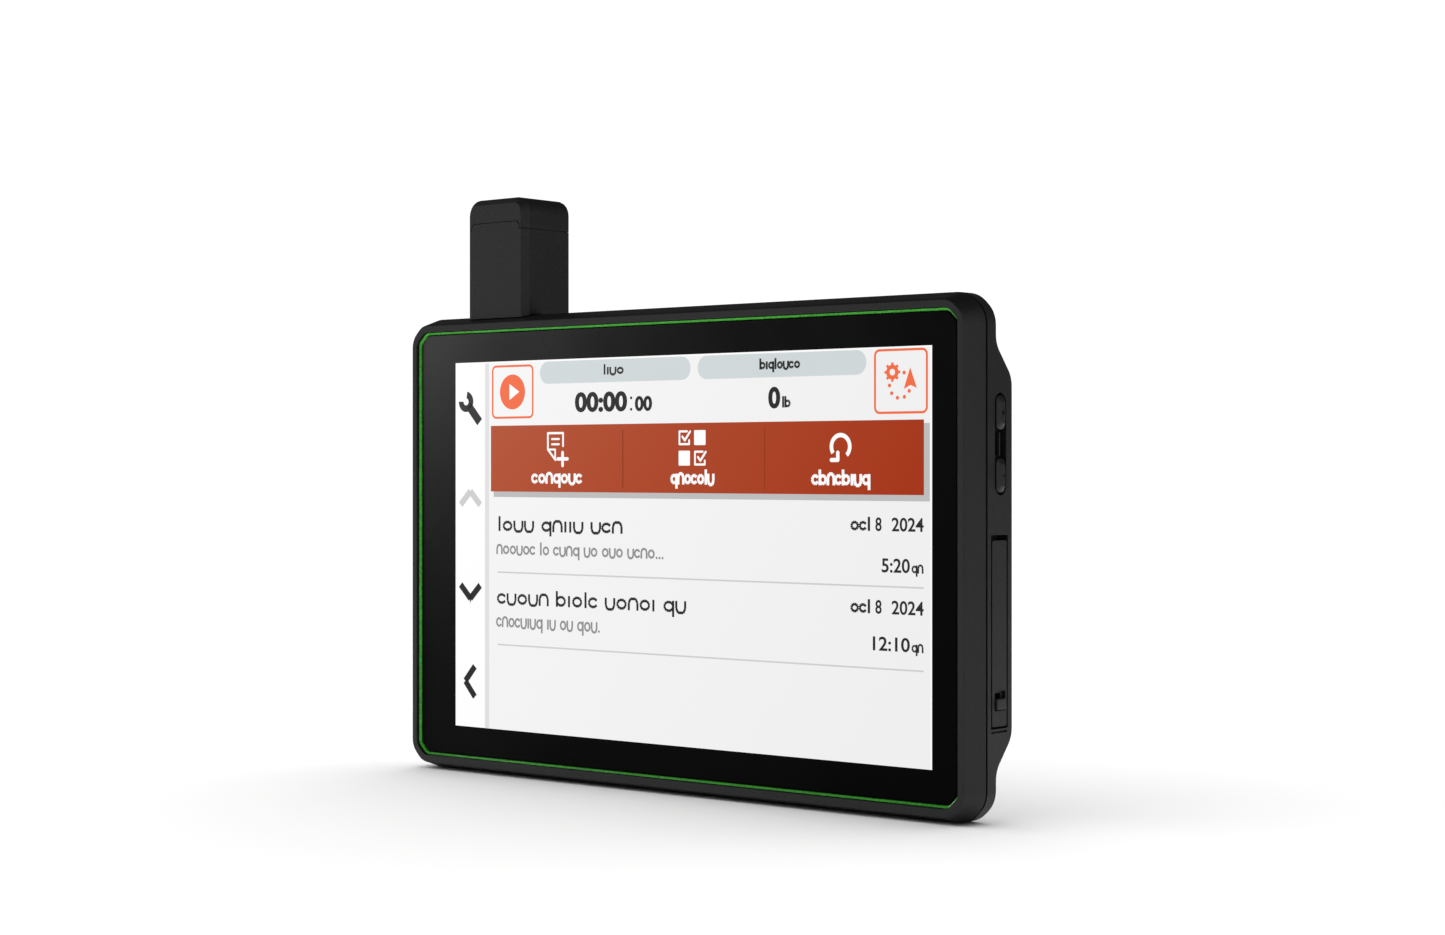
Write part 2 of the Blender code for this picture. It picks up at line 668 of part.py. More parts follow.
def dock_holes():
    """In the boss: blind bores for the inserts and the plate's screws, and the contacts' opening."""
    holes = [rod(INSERT_R + GAP, INSERT_FRONT - GAP, BOSS_BACK + 2, 1, place) for place in insert_places()]
    holes += [rod(SCREW_R + GAP, BOSS_BACK - 5.4, BOSS_BACK + 2, 1, place) for place in dock_screw_places()]
    x, z = span(0, CONTACT_WIDTH + 2 * GAP), span(0, CONTACT_HEIGHT + 2 * GAP)
    holes.append(slab(x, (CAVITY_BACK - 2, BOSS_BACK + 2), z))
    holes.append(rod(VENT_R + GAP, CAVITY_BACK - 2, HUMP_BACK + 2, 1, VENT_PLACE))
    return joined(*holes)


def speaker_slots():
    x, z = SPEAKER_PLACE
    slots = []
    for i in range(5):
        middle = z + (i - 2) * 2.6
        length = 12 if i in (1, 2, 3) else 8
        slots.append(rounded_slab(span(x, length), (CAVITY_BACK - 2, HUMP_BACK + 2), span(middle, 1.2), 1, 0.55, 2))
    return joined(*slots)


def socket_holes():
    """In the pocket's floor, for the two sockets."""
    x = (HALF_W - POCKET_DEEP - WALL - 2, HALF_W - POCKET_DEEP + 1)
    holes = [slab(x, (y[0] - GAP, y[1] + GAP), (z[0] - GAP, z[1] + GAP)) for y, z in (USB_YZ, CARD_YZ)]
    return joined(*holes)


# ---------------------------------------------------------------- fasteners and the mount on the back


def antenna_screw_places():
    return [(TOWER_X - 6, FOOT_LOW + 5.5), (TOWER_X + 6, FOOT_LOW + 5.5)]


def insert_places():
    return dock_corners(HOLES_X / 2, HOLES_Z / 2)


def dock_screw_places():
    return dock_corners(DOCK_SCREW_X, DOCK_SCREW_Z)


def stepped_bore(place, tip, seat, out):
    """A screw's hole along Y with its head's counterbore, open beyond out."""
    shaft, head = SCREW_R + GAP, SCREW_HEAD_R + GAP
    profile = [(0, tip), (shaft, tip), (shaft, seat), (head, seat), (head, out), (0, out)]
    return turned(profile, 1, (place[0], 0, place[1]))


def screw(name, place, seat, tip, head=SCREW_HEAD):
    """A cap screw along Y, its head's underside at seat and its end at tip, with a round drive recess."""
    drive_r, drive_deep = 0.95, 0.75 * head
    profile = [
        (0, tip),
        (SCREW_R - 0.3, tip),
        (SCREW_R, tip + 0.4),
        (SCREW_R, seat),
        (SCREW_HEAD_R, seat),
        (SCREW_HEAD_R, seat + head - 0.25),
        (SCREW_HEAD_R - 0.25, seat + head),
        (drive_r, seat + head),
        (drive_r, seat + head - drive_deep),
        (0, seat + head - drive_deep),
    ]
    piece(name, turned(profile, 1, (place[0], 0, place[1]), 14), "steel", smooth=30)


def fasteners():
    for i, place in enumerate(housing_screw_places()):
        screw(f"housing_screw_{i + 1}", place, FLANGE_BACK - SCREW_SUNK + GAP, SCREW_TIP)
    for i, place in enumerate(antenna_screw_places()):
        screw(f"antenna_screw_{i + 1}", place, FOOT_BACK - SCREW_SUNK + GAP, ROOT_BACK - 4.8)
    for i, place in enumerate(dock_screw_places()):
        screw(f"dock_screw_{i + 1}", place, PLATE_BACK - DOCK_SUNK, BOSS_BACK - 5.0)
    for i, place in enumerate(insert_places()):
        profile = [
            (INSERT_BORE, INSERT_FRONT),
            (INSERT_R, INSERT_FRONT),
            (INSERT_R, BOSS_BACK - GAP),
            (INSERT_BORE, BOSS_BACK - GAP),
            (INSERT_BORE, INSERT_FRONT),
        ]
        piece(f"dock_insert_{i + 1}", turned(profile, 1, (place[0], 0, place[1]), 18), "brass", smooth=30)


def dock():
    points = corner_outline(PLATE_WIDTH / 2, PLATE_HEIGHT / 2, 4, 5, 2)
    faces = (BOSS_BACK + GAP, PLATE_BACK)
    plate = piece("dock_plate", loft([[(x, y, z) for x, z in points] for y in faces]), "steel")
    holes = [rod(INSERT_BORE + 0.2, BOSS_BACK - 1, PLATE_BACK + 1, 1, place, 20) for place in insert_places()]
    seat = PLATE_BACK - DOCK_SUNK
    holes += [stepped_bore(place, BOSS_BACK - 1, seat - GAP, PLATE_BACK + 1) for place in dock_screw_places()]
    window = slab(span(0, CONTACT_WIDTH + 2 * GAP), (BOSS_BACK - 1, PLATE_BACK + 1), span(0, CONTACT_HEIGHT + 2 * GAP))
    boolean(plate, cutter("plate_holes", joined(*holes, window)))
    block_back = PLATE_BACK - 0.9
    block = slab(span(0, CONTACT_WIDTH), (CAVITY_BACK + 1, block_back), span(0, CONTACT_HEIGHT))
    block = piece("contact_block", bevel(block, edges_along(block, 1), 1.0), "black_plastic")
    pins = [((i - (PIN_COUNT - 1) / 2) * PIN_PITCH, 0) for i in range(PIN_COUNT)]
    sockets = [rod(PIN_R + GAP, CAVITY_BACK + 2, PLATE_BACK + 1, 1, place) for place in pins]
    boolean(block, cutter("contact_bores", joined(*sockets)))
    for i, place in enumerate(pins):
        low, high = CAVITY_BACK + 2 + GAP, block_back + 0.6
        profile = [(0, low), (PIN_R, low), (PIN_R, high - 0.4), (PIN_R - 0.35, high), (0, high)]
        piece(f"contact_pin_{i + 1}", turned(profile, 1, (place[0], 0, place[1]), 12), "gold", smooth=30)
    profile = [(0, CAVITY_BACK + 0.6), (VENT_R, CAVITY_BACK + 0.6), (VENT_R, HUMP_BACK - 0.4)]
    profile += [(VENT_R - 0.4, HUMP_BACK - 0.1), (0, HUMP_BACK - 0.1)]
    piece("vent_plug", turned(profile, 1, (VENT_PLACE[0], 0, VENT_PLACE[1]), 20), "rubber", smooth=30)


# ---------------------------------------------------------------- keys


def volume_keys():
    for name, z in KEY_Z.items():
        back, face = HALF_W - KEY_SUNK, HALF_W + KEY_PROUD
        cap = rounded_slab((back, HALF_W), span(KEY_Y, KEY_WIDTH), span(z, KEY_LENGTH), 0, 1.3, 3)
        outer = [side for side in cap.faces if side.calc_center_median().x > HALF_W - 0.01]
        raised = bmesh.ops.extrude_discrete_faces(cap, faces=outer)["faces"][0]
        narrow, short = 1 - 2 * KEY_SLOPE / KEY_WIDTH, 1 - 2 * KEY_TAPER / KEY_LENGTH
        for vert in raised.verts:
            vert.co = (face, KEY_Y + (vert.co.y - KEY_Y) * narrow, z + (vert.co.z - z) * short)
        key = piece(f"{name}_button", cap, "black_plastic", pivot=(face, KEY_Y, z))
        stem = slab((HALF_W - STEM_REACH, back + 0.5), span(KEY_Y, STEM_WIDE), span(z, STEM_LONG))
        boolean(key, cutter(f"{name}_stem", stem), "UNION")
        boolean(key, cutter(f"{name}_sign_bar", slab((face - 0.35, face + 1), span(KEY_Y, 1.3), span(z, 0.45))))
        if name == "volume_up":
            boolean(key, cutter("sign_post", slab((face - 0.4, face + 1), span(KEY_Y, 0.45), span(z, 1.3))))


def side_switches():
    board_x = HALF_W - STEM_REACH - 3.2
    z = (KEY_Z["volume_down"] - 7, KEY_Z["volume_up"] + 7)
    piece("side_board", slab((board_x - 0.8, board_x), (8.6, HUMP_BACK - 2.6), z), "circuit_board")
    for name, middle in KEY_Z.items():
        x = (board_x + GAP, HALF_W - STEM_REACH - KEY_TRAVEL - GAP)
        body_shape = rounded_slab(x, span(KEY_Y, 3.6), span(middle, 3.6), 0, 0.6, 1)
        piece(f"{name}_switch", body_shape, "steel")


def power_key():
    top = HALF_H - POWER_INSET
    cap = rounded_slab(span(POWER_X, POWER_LENGTH), span(POWER_Y, POWER_WIDTH), (top - POWER_THICK, top), 2, 0.6, 2)
    key = piece("power_button", cap, "black_plastic", pivot=(POWER_X, POWER_Y, top))
    stem = slab(span(POWER_X, STEM_LONG), span(POWER_Y, 1.0), (HALF_H - POWER_STEM, top - POWER_THICK / 2))
    boolean(key, cutter("power_stem", stem), "UNION")
    high = HALF_H - POWER_STEM - POWER_TRAVEL - GAP
    piece("power_switch", slab(span(POWER_X, 5), span(POWER_Y - 0.1, 1.5), (high - 3.5, high)), "steel")


# ---------------------------------------------------------------- port door


def port_door():
    axis_x, axis_z = hinge_axis()
    pivot = empty("door_hinge_axis", (axis_x, (DOOR_FRONT + DOOR_BACK) / 2, axis_z), body)
    inner = HALF_W - DOOR_THICK
    leaf = rounded_slab((inner, HALF_W), (DOOR_FRONT, DOOR_BACK), (DOOR_LOW, DOOR_HIGH), 0, 0.6, 2)
    door = piece("port_door", leaf, "black_plastic", pivot, tuple(pivot["pivot"]))
    knuckle = rod(KNUCKLE_R, DOOR_FRONT + 0.1, DOOR_BACK - 0.1, 1, hinge_axis())
    boolean(door, cutter("knuckle", knuckle), "UNION")
    boolean(door, cutter("knuckle_bore", rod(HINGE_PIN_R + GAP, 0, 30, 1, hinge_axis(), 12)))
    recess_top = LATCH_Z + KNOB_HIGH / 2 + LATCH_TRAVEL + GAP
    recess = slab(
        (HALF_W - LATCH_RECESS, HALF_W + 1),
        span(LATCH_Y, KNOB_WIDE + 2 * GAP),
        (LATCH_Z - KNOB_HIGH / 2 - GAP, recess_top),
    )
    boolean(door, cutter("latch_recess", recess))
    slot_z = (LATCH_Z - STEM_HIGH / 2 - GAP, LATCH_Z + STEM_HIGH / 2 + LATCH_TRAVEL + GAP)
    slot = slab((inner - 1, HALF_W + 1), span(LATCH_Y, STEM_BROAD + 2 * GAP), slot_z)
    boolean(door, cutter("latch_slot", slot))

    rim = POCKET_RIM + GAP
    y, z = (DOOR_FRONT + rim, DOOR_BACK - rim), (POCKET_LOW + GAP, POCKET_HIGH - GAP)
    x = (inner - GAP - SEAL_REACH, inner - GAP)
    seal = piece("door_seal", rounded_slab(x, y, z, 0, 0.7, 2), "rubber", pivot, tuple(pivot["pivot"]))
    y, z = (y[0] + SEAL_WALL, y[1] - SEAL_WALL), (z[0] + SEAL_WALL, z[1] - SEAL_WALL)
    boolean(seal, cutter("seal_middle", slab((x[0] - 1, x[1] + 1), y, z)))

    pin = rod(HINGE_PIN_R, DOOR_FRONT - 1.3, DOOR_BACK + 1.3, 1, hinge_axis(), 12)
    piece("hinge_pin", pin, "steel")
    latch(pivot, inner)


def latch(pivot, inner):
    """A knob in the leaf's recess, a stem through its slot and a bolt behind it, in one piece."""
    knob_x = (HALF_W - LATCH_RECESS + 0.15, HALF_W + KNOB_PROUD)
    knob = slab(knob_x, span(LATCH_Y, KNOB_WIDE), span(LATCH_Z, KNOB_HIGH))
    bevel(knob, [edge for edge in knob.edges if all(v.co.x > knob_x[1] - 0.01 for v in edge.verts)], 0.2)
    place = (HALF_W - LATCH_RECESS, LATCH_Y, LATCH_Z)
    piece_of_latch = piece("door_latch", knob, "black_plastic", pivot, place)
    bolt_x = (inner - GAP - BOLT_THICK, inner - GAP)
    stem = slab((bolt_x[1] - 0.1, knob_x[0] + 0.2), span(LATCH_Y, STEM_BROAD), span(LATCH_Z, STEM_HIGH))
    boolean(piece_of_latch, cutter("latch_stem", stem), "UNION")
    bolt = slab(bolt_x, span(LATCH_Y, STEM_BROAD + 1), (LATCH_Z - BOLT_DOWN, LATCH_Z + BOLT_UP))
    boolean(piece_of_latch, cutter("latch_bolt", bolt), "UNION")


# ---------------------------------------------------------------- inside


def electronics():
    board_back = BOARD_FRONT + BOARD_THICK
    piece("main_board", slab(BOARD_X, (BOARD_FRONT, board_back), span(0, BOARD_HIGH)), "circuit_board")
    for name, z, deep in (("processor_shield", (-18, 20), 2.6), ("radio_shield", (-40, -22), 2.0)):
        x = (10, 44)
        shell, inner = hollow_box(x, (board_back + GAP, board_back + GAP + deep), z, 0.5, (1, 0))
        can = piece(name, shell, "foil")
        boolean(can, cutter(f"{name}_inside", inner))
    patch = slab((14, 32), (board_back + GAP, board_back + GAP + 4), (24, 41))
    piece("gps_patch_antenna", bevel(patch, edges_along(patch, 1), 1.0), "ceramic")
    x, z = SPEAKER_PLACE
    back = CAVITY_BACK - 0.45
    cone = [(0, -3.8), (SPEAKER_R, -3.8), (SPEAKER_R, -1.0), (SPEAKER_R - 1.5, -0.6), (3.2, -1.4), (0, -0.9)]
    piece("speaker", turned(cone, 1, (x, back, z), 24), "black_plastic")
    piece("speaker_mesh", rod(SPEAKER_R - 0.5, back - 0.3, back, 1, SPEAKER_PLACE, 24), "foil")


def battery():
    x, z = BATTERY_X, span(0, BATTERY_HEIGHT)
    near = BOARD_FRONT + BOARD_THICK + 0.6
    shell, inner = hollow_box((x[0] - 1.1, x[1] + 1.1), (near, near + 2.4), (z[0] - 1.1, z[1] + 1.1), 0.8, (1, 1))
    tray = piece("battery_tray", shell, "black_plastic")
    boolean(tray, cutter("battery_tray_inside", inner))
    pack = slab(x, (near + 0.8 + GAP, CAVITY_BACK - 0.6), z)
    bevel(pack, edges_along(pack, 2), 1.2, 2)
    piece("battery_pack", pack, "foil")


def sockets():
    floor = HALF_W - POCKET_DEEP
    (y, z) = USB_YZ
    usb = piece("usb_socket", rounded_slab((floor - 8.8, floor - 0.1), y, z, 0, 1.5, 3), "steel")
    inside = rounded_slab(
        (floor - 7.5, floor + 1), (y[0] + 0.35, y[1] - 0.35), (z[0] + 0.35, z[1] - 0.35), 0, 1.15, 3
    )
    boolean(usb, cutter("usb_inside", inside))
    tongue = slab((floor - 8, floor - 1), span((y[0] + y[1]) / 2, 0.7), (z[0] + 1.3, z[1] - 1.3))
    boolean(usb, cutter("usb_tongue", tongue), "UNION")
    (y, z) = CARD_YZ
    card = piece("card_socket", slab((floor - 17, floor - 0.1), y, z), "steel")
    slot_y = (y[0] + 0.5, y[1] - 0.5)
    boolean(card, cutter("card_slot", slab((floor - 16, floor + 1), slot_y, (z[0] + 0.5, z[1] - 0.5))))
    memory = slab((floor - 15.5, floor - 0.4), (slot_y[0] + GAP, slot_y[1] - GAP), (z[0] + 0.8, z[1] - 0.8))
    piece("memory_card", memory, "black_plastic")
    board = slab((floor - 22, floor - WALL - 0.6), (8.8, 9.6), (z[0] - 3, USB_YZ[1][1] + 4))
    piece("port_board", board, "circuit_board")


# ---------------------------------------------------------------- antenna tower


def tower_block(low, high, topped):
    """The tower's outside between two heights, with its rounded top or without."""
    bm = slab(span(TOWER_X, TOWER_WIDTH), (TOWER_FRONT, TOWER_BACK), (low, high))
    if topped:
        bevel(bm, edges_along(bm, 1, lambda middle: middle.z > high - 1), TOWER_ROUND, 5)
    for y, width, steps in ((TOWER_FRONT, TOWER_CHAMFER, 1), (TOWER_BACK, TOWER_BACK_ROUND, 3)):
        rim = []
        for edge in bm.edges:
            flat = all(abs(v.co.y - y) < 0.01 for v in edge.verts)
            level = all(abs(v.co.z - low) < 0.01 for v in edge.verts)
            capped = not topped and all(abs(v.co.z - high) < 0.01 for v in edge.verts)
            if flat and not level and not capped:
                rim.append(edge)
        bevel(bm, rim, width, steps)
    return bm


def tower_inside(low, high, shrink):
    x = span(TOWER_X, TOWER_WIDTH - 2 * shrink)
    return rounded_slab(x, (TOWER_FRONT + shrink, TOWER_BACK - shrink), (low, high), 2, 2.0, 2)


def body_clearance():
    """The body's top edge with a gap over it, which the tower stands astride."""
    rim = GLASS_HEIGHT / 2 + RIM_FAR + RIM_ROUND + GAP
    back = TOWER_BACK + 10
    profile = [(RIM_TOP + RIM_ROUND, rim), (SLOPE_END, HALF_H + GAP), (back, HALF_H + GAP), (back, 0), (-5, 0), (-5, rim)]
    return extruded_side(profile, TOWER_WIDTH, TOWER_X)


def tongue(grow):
    """The front tongue of the tower, or the notch that clears it."""
    half = TOWER_WIDTH / 2 - TONGUE_SIDE + grow
    y = (TOWER_FRONT - 1, TOWER_FRONT + TOWER_WALL - 0.2 + grow)
    high = TOWER_SEAM + TONGUE_RISE + grow
    bm = slab(span(TOWER_X, 2 * half), y, (TOWER_SEAM - 3, high))
    return bevel(bm, edges_along(bm, 1, lambda middle: middle.z > high - 1), 0.9)


def antenna():
    tower = piece("antenna_housing", tower_block(HALF_H - 3, TOWER_SEAM + TONGUE_RISE, False), "black_plastic")
    foot = slab(
        span(TOWER_X, TOWER_WIDTH - 2 * FOOT_SIDE), (FOOT_BACK - FOOT_THICK, FOOT_BACK), (FOOT_LOW, HALF_H + 1.5)
    )
    bevel(foot, edges_along(foot, 1, lambda middle: middle.z < HALF_H), 3, 3)
    above = cutter("above_seam", slab(span(TOWER_X, TOWER_WIDTH + 8), (-8, 40), (TOWER_SEAM, TOWER_SEAM + 9)))
    boolean(above, cutter("tower_tongue", tongue(0)))
    boolean(tower, above)
    boolean(tower, cutter("tower_inside", tower_inside(HALF_H + 2.4, TOWER_SEAM + 6, TOWER_WALL)))
    boolean(tower, cutter("body_clearance", body_clearance()))
    boolean(tower, cutter("tower_foot", foot), "UNION")
    holes = [rod(COAX_R + 1.1, HALF_H - 4, HALF_H + 4, 2, (TOWER_X, COAX_Y))]
    for place in antenna_screw_places():
        holes.append(stepped_bore(place, ROOT_BACK - 2, FOOT_BACK - SCREW_SUNK, FOOT_BACK + 3))
    boolean(tower, cutter("tower_holes", joined(*holes)))

    low = TOWER_SEAM + CAP_GAP
    cap = piece("antenna_cap", tower_block(low, TOWER_TOP, True), "black_plastic")
    boolean(cap, cutter("cap_lip", tower_inside(TOWER_SEAM - LIP_DEEP, low + 1, TOWER_WALL + LIP_IN)), "UNION")
    boolean(cap, cutter("cap_inside", tower_inside(HALF_H, TOWER_TOP - 2.2, TOWER_WALL + LIP_IN + 1.2)))
    boolean(cap, cutter("cap_notch", tongue(CAP_GAP)))
    top = TOWER_SEAM - GAP - 0.5
    seal = piece("antenna_seal", tower_inside(top - 1.2, top, TOWER_WALL + GAP), "rubber")
    boolean(seal, cutter("seal_inside", tower_inside(HALF_H, TOWER_TOP, TOWER_WALL + LIP_IN - GAP)))

    middle_y = (TOWER_FRONT + TOWER_BACK) / 2
    low, high = HALF_H + 2.4 + 2.6, TOWER_SEAM - LIP_DEEP + 8
    core_r = COIL_R - COIL_WIRE - GAP
    core = [(0, low), (core_r, low), (core_r, high - 0.8), (core_r - 0.8, high), (0, high)]
    piece("antenna_core", turned(core, 2, (TOWER_X, middle_y, 0), 20), "ceramic")
    coil_points = []
    per_turn, start = 14, low + 1.5
    for i in range(COIL_TURNS * per_turn + 1):
        turn = 2 * pi * i / per_turn
        rise = start + (high - low - 4) * i / (COIL_TURNS * per_turn)
        coil_points.append((TOWER_X + COIL_R * cos(turn), middle_y + COIL_R * sin(turn), rise))
    wire("antenna_coil", coil_points, COIL_WIRE, "brass")
    # X from the tower's middle, Y, and Z from where the hump is flat
    down = ((11, 8.9, -3.8), (5, 10.0, -3.3), (1, 11.8, -0.5), (0, COAX_Y, 4))
    route = [(TOWER_X + x, y, HUMP_TOP + 1.5 + z) for x, y, z in down]
    route += [(TOWER_X, COAX_Y, HALF_H - 4), (TOWER_X, COAX_Y, HALF_H + 1), (TOWER_X, COAX_Y, low - 1.0)]
    wire("antenna_coax", smooth_route(route), COAX_R, "black_plastic")


def smooth_route(points, steps=4):
    """A smooth curve through the points, by Catmull and Rom's rule."""
    ends = [points[0]] + points + [points[-1]]
    route = []
    for a, b, c, d in zip(ends, ends[1:], ends[2:], ends[3:]):
        a, b, c, d = Vector(a), Vector(b), Vector(c), Vector(d)
        for i in range(steps):
            t = i / steps
            bend = (a - 2.5 * b + 2 * c - d / 2) * t**2 + (1.5 * (b - c) + (d - a) / 2) * t**3
            route.append(b + (c - a) * t / 2 + bend)
    return route + [Vector(points[-1])]


def wire(name, points, radius, kind):
    """A round wire along the points, in body-frame millimetres."""
    curve = bpy.data.curves.new(name, "CURVE")
    curve.dimensions = "3D"
    spline = curve.splines.new("POLY")
    spline.points.add(len(points) - 1)
    for point, place in zip(spline.points, points):
        point.co = (*(Vector(place) * MM), 1)
    curve.bevel_depth = radius * MM
    curve.bevel_resolution = 1
    curve.use_fill_caps = True
    curve.materials.append(material(kind))
    obj = bpy.data.objects.new(name, curve)
    parts.objects.link(obj)
    obj.parent = body
    return obj


clear_scene()
parts = new_collection("navigator_parts")
cutters = new_collection("cutters")
body = empty("navigator", (-BODY_MIDDLE_X, -BODY_MIDDLE_Y, HALF_H))
front_bezel()
trim_ring()
cover_glass()
display()
housing_gasket()
rear_cover()
fasteners()
dock()
volume_keys()
side_switches()
power_key()
port_door()
electronics()
battery()
sockets()
antenna()
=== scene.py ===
"""Finished surfaces, lit screen and studio set for a rugged off-road navigator with an antenna tower."""

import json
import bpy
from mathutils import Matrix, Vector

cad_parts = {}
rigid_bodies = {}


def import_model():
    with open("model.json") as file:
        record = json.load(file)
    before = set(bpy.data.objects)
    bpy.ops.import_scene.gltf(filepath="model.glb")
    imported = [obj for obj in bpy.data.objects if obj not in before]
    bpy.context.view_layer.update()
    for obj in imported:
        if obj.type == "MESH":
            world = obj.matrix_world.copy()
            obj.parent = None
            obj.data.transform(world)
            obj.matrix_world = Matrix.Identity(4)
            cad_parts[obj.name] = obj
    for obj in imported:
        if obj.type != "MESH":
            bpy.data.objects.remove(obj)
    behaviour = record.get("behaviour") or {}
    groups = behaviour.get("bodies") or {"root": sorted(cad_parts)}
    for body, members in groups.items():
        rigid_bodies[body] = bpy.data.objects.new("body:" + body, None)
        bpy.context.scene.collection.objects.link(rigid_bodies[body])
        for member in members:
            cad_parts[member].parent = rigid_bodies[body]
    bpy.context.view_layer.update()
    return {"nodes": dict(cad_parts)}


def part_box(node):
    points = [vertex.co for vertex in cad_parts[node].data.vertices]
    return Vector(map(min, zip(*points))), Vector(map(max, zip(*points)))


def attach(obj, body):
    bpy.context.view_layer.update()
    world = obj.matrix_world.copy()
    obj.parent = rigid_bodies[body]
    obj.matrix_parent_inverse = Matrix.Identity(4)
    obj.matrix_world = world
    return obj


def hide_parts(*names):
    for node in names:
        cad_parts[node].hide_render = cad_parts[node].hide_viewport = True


bl_info = {
    "name": "Off-road Navigator Finish",
    "version": (1, 0, 0),
    "blender": (4, 5, 0),
    "location": "View3D > Sidebar > Navigator",
    "description": "Housing, glass, lit screen, keys, port door, antenna tower and mount of a rugged navigator",
    "category": "Object",
}

from math import cos, pi, radians, sin

import bmesh
import bpy
from bpy.props import FloatProperty, FloatVectorProperty, PointerProperty
from mathutils import Matrix, Vector

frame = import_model()

MM = 0.001
GLASS_LOW, GLASS_HIGH = (Vector(corner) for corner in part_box("cover_glass"))
PANEL_LOW, PANEL_HIGH = (Vector(corner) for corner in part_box("display_panel"))
PANEL_RIM = 4.0  # mm of panel round its lit area
LIT = ((PANEL_LOW.x + PANEL_HIGH.x) / 2, GLASS_LOW.y, (PANEL_LOW.z + PANEL_HIGH.z) / 2)
LIT_HALF_W = (PANEL_HIGH.x - PANEL_LOW.x) / MM / 2 - PANEL_RIM
LIT_HALF_H = (PANEL_HIGH.z - PANEL_LOW.z) / MM / 2 - PANEL_RIM

# The camera's place, in mm from the middle of the glass's front, and its heading
CAMERA_PLACE = (454.37, -521.79, 22.83)
CAMERA_TURN = 39.746
CAMERA_LENS, CAMERA_SENSOR = 62.36, 36.0

INK_THICK = 0.02  # mm; each layer of the screen's picture


# ---------------------------------------------------------------- colour and shader helpers


def linear(colour):
    """A "#rrggbb" sRGB colour as linear RGBA."""
    values = [int(colour[i : i + 2], 16) / 255 for i in (1, 3, 5)]
    return (*[v / 12.92 if v <= 0.04045 else ((v + 0.055) / 1.055) ** 2.4 for v in values], 1.0)


def add(tree, kind, values=None, links=None, **settings):
    """A shader node with its settings, the values of its inputs and what feeds them."""
    made = tree.nodes.new(kind)
    for key, value in settings.items():
        setattr(made, key, value)
    for key, value in (values or {}).items():
        made.inputs[key].default_value = value
    for key, socket in (links or {}).items():
        tree.links.new(socket, made.inputs[key])
    return made


def new_material(name, values):
    """A material whose shader has these values, with its node tree and shader."""
    made = bpy.data.materials.new(name)
    made.use_nodes = True
    shader = made.node_tree.nodes["Principled BSDF"]
    for key, value in values.items():
        shader.inputs[key].default_value = value
    return made, made.node_tree, shader


def pattern(tree, size_mm, detail=2.0, stretch=(1, 1, 1)):
    """Noise of about this grain, in the object's own coordinates."""
    place = add(tree, "ShaderNodeTexCoord").outputs["Object"]
    if stretch != (1, 1, 1):
        place = add(tree, "ShaderNodeMapping", {"Scale": stretch}, {"Vector": place}).outputs["Vector"]
    values = {"Scale": 1 / (size_mm * MM), "Detail": detail, "Roughness": 0.55}
    return add(tree, "ShaderNodeTexNoise", values, {"Vector": place}).outputs["Fac"]


def spread(tree, value, low, high):
    """A 0 to 1 pattern, stretched to run between two numbers."""
    values = {"From Min": 0.3, "From Max": 0.7, "To Min": low, "To Max": high}
    return add(tree, "ShaderNodeMapRange", values, {"Value": value}).outputs["Result"]


def mixed(tree, factor, first, second, blend="MIX"):
    """Two colours mixed; each of the three may be a value or another node's output."""
    mix = add(tree, "ShaderNodeMix", data_type="RGBA", blend_type=blend)
    for index, value in ((0, factor), (6, first), (7, second)):  # the node's factor and its two colours
        if isinstance(value, bpy.types.NodeSocket):
            tree.links.new(value, mix.inputs[index])
        else:
            mix.inputs[index].default_value = value
    return mix.outputs[2]


def relief(tree, shader, height, depth_mm):
    """Raise and sink the surface's shading by a pattern."""
    bump = add(tree, "ShaderNodeBump", {"Strength": 1.0, "Distance": depth_mm * MM}, {"Height": height})
    tree.links.new(bump.outputs["Normal"], shader.inputs["Normal"])


def shade(colour, factor):
    """A linear colour made darker or lighter."""
    return (*[channel * factor for channel in colour[:3]], 1.0)


# ---------------------------------------------------------------- finishes

WHITE = (1.0, 1.0, 1.0, 1.0)
TONE_MM = 22.0  # how far apart a moulding's lighter and darker areas lie
SPECKLE = 0.75  # how strongly the grain darkens a moulding
SMEAR_MM = 30.0  # how far apart the glass's duller patches lie
# Black behind an anti-reflection coat: its specular level is far under the 0.5 of bare glass
COATED_GLASS = {"Base Color": (0.0, 0.0, 0.0, 1.0), "Roughness": 0.26, "IOR": 1.5, "Specular IOR Level": 0.02}
# The painted sheen on the screen's field and bar is lightest toward the upper left
PAINTED_SHEEN_LEAN = 0.6  # how far a fade along X leans with height


def moulded(name, colour, roughness, grain_mm, depth_mm, values=None):
    """Injection-moulded polymer: the tool's spark-eroded grain, a broken gloss and slow changes of tone."""
    base = {"Roughness": roughness, "IOR": 1.5, "Specular IOR Level": 0.4, **(values or {})}
    made, tree, shader = new_material(name, base)
    grain = pattern(tree, grain_mm, 3.0)
    tone = pattern(tree, TONE_MM)
    colour = linear(colour)
    even = mixed(tree, spread(tree, tone, 0, 1), shade(colour, 0.9), shade(colour, 1.1))
    specks = mixed(tree, spread(tree, grain, 0, 1), shade(WHITE, 0.4), shade(WHITE, 1.2))
    tree.links.new(mixed(tree, SPECKLE, even, specks, "MULTIPLY"), shader.inputs["Base Color"])
    tree.links.new(spread(tree, grain, roughness - 0.05, roughness + 0.05), shader.inputs["Roughness"])
    relief(tree, shader, grain, depth_mm)
    return made


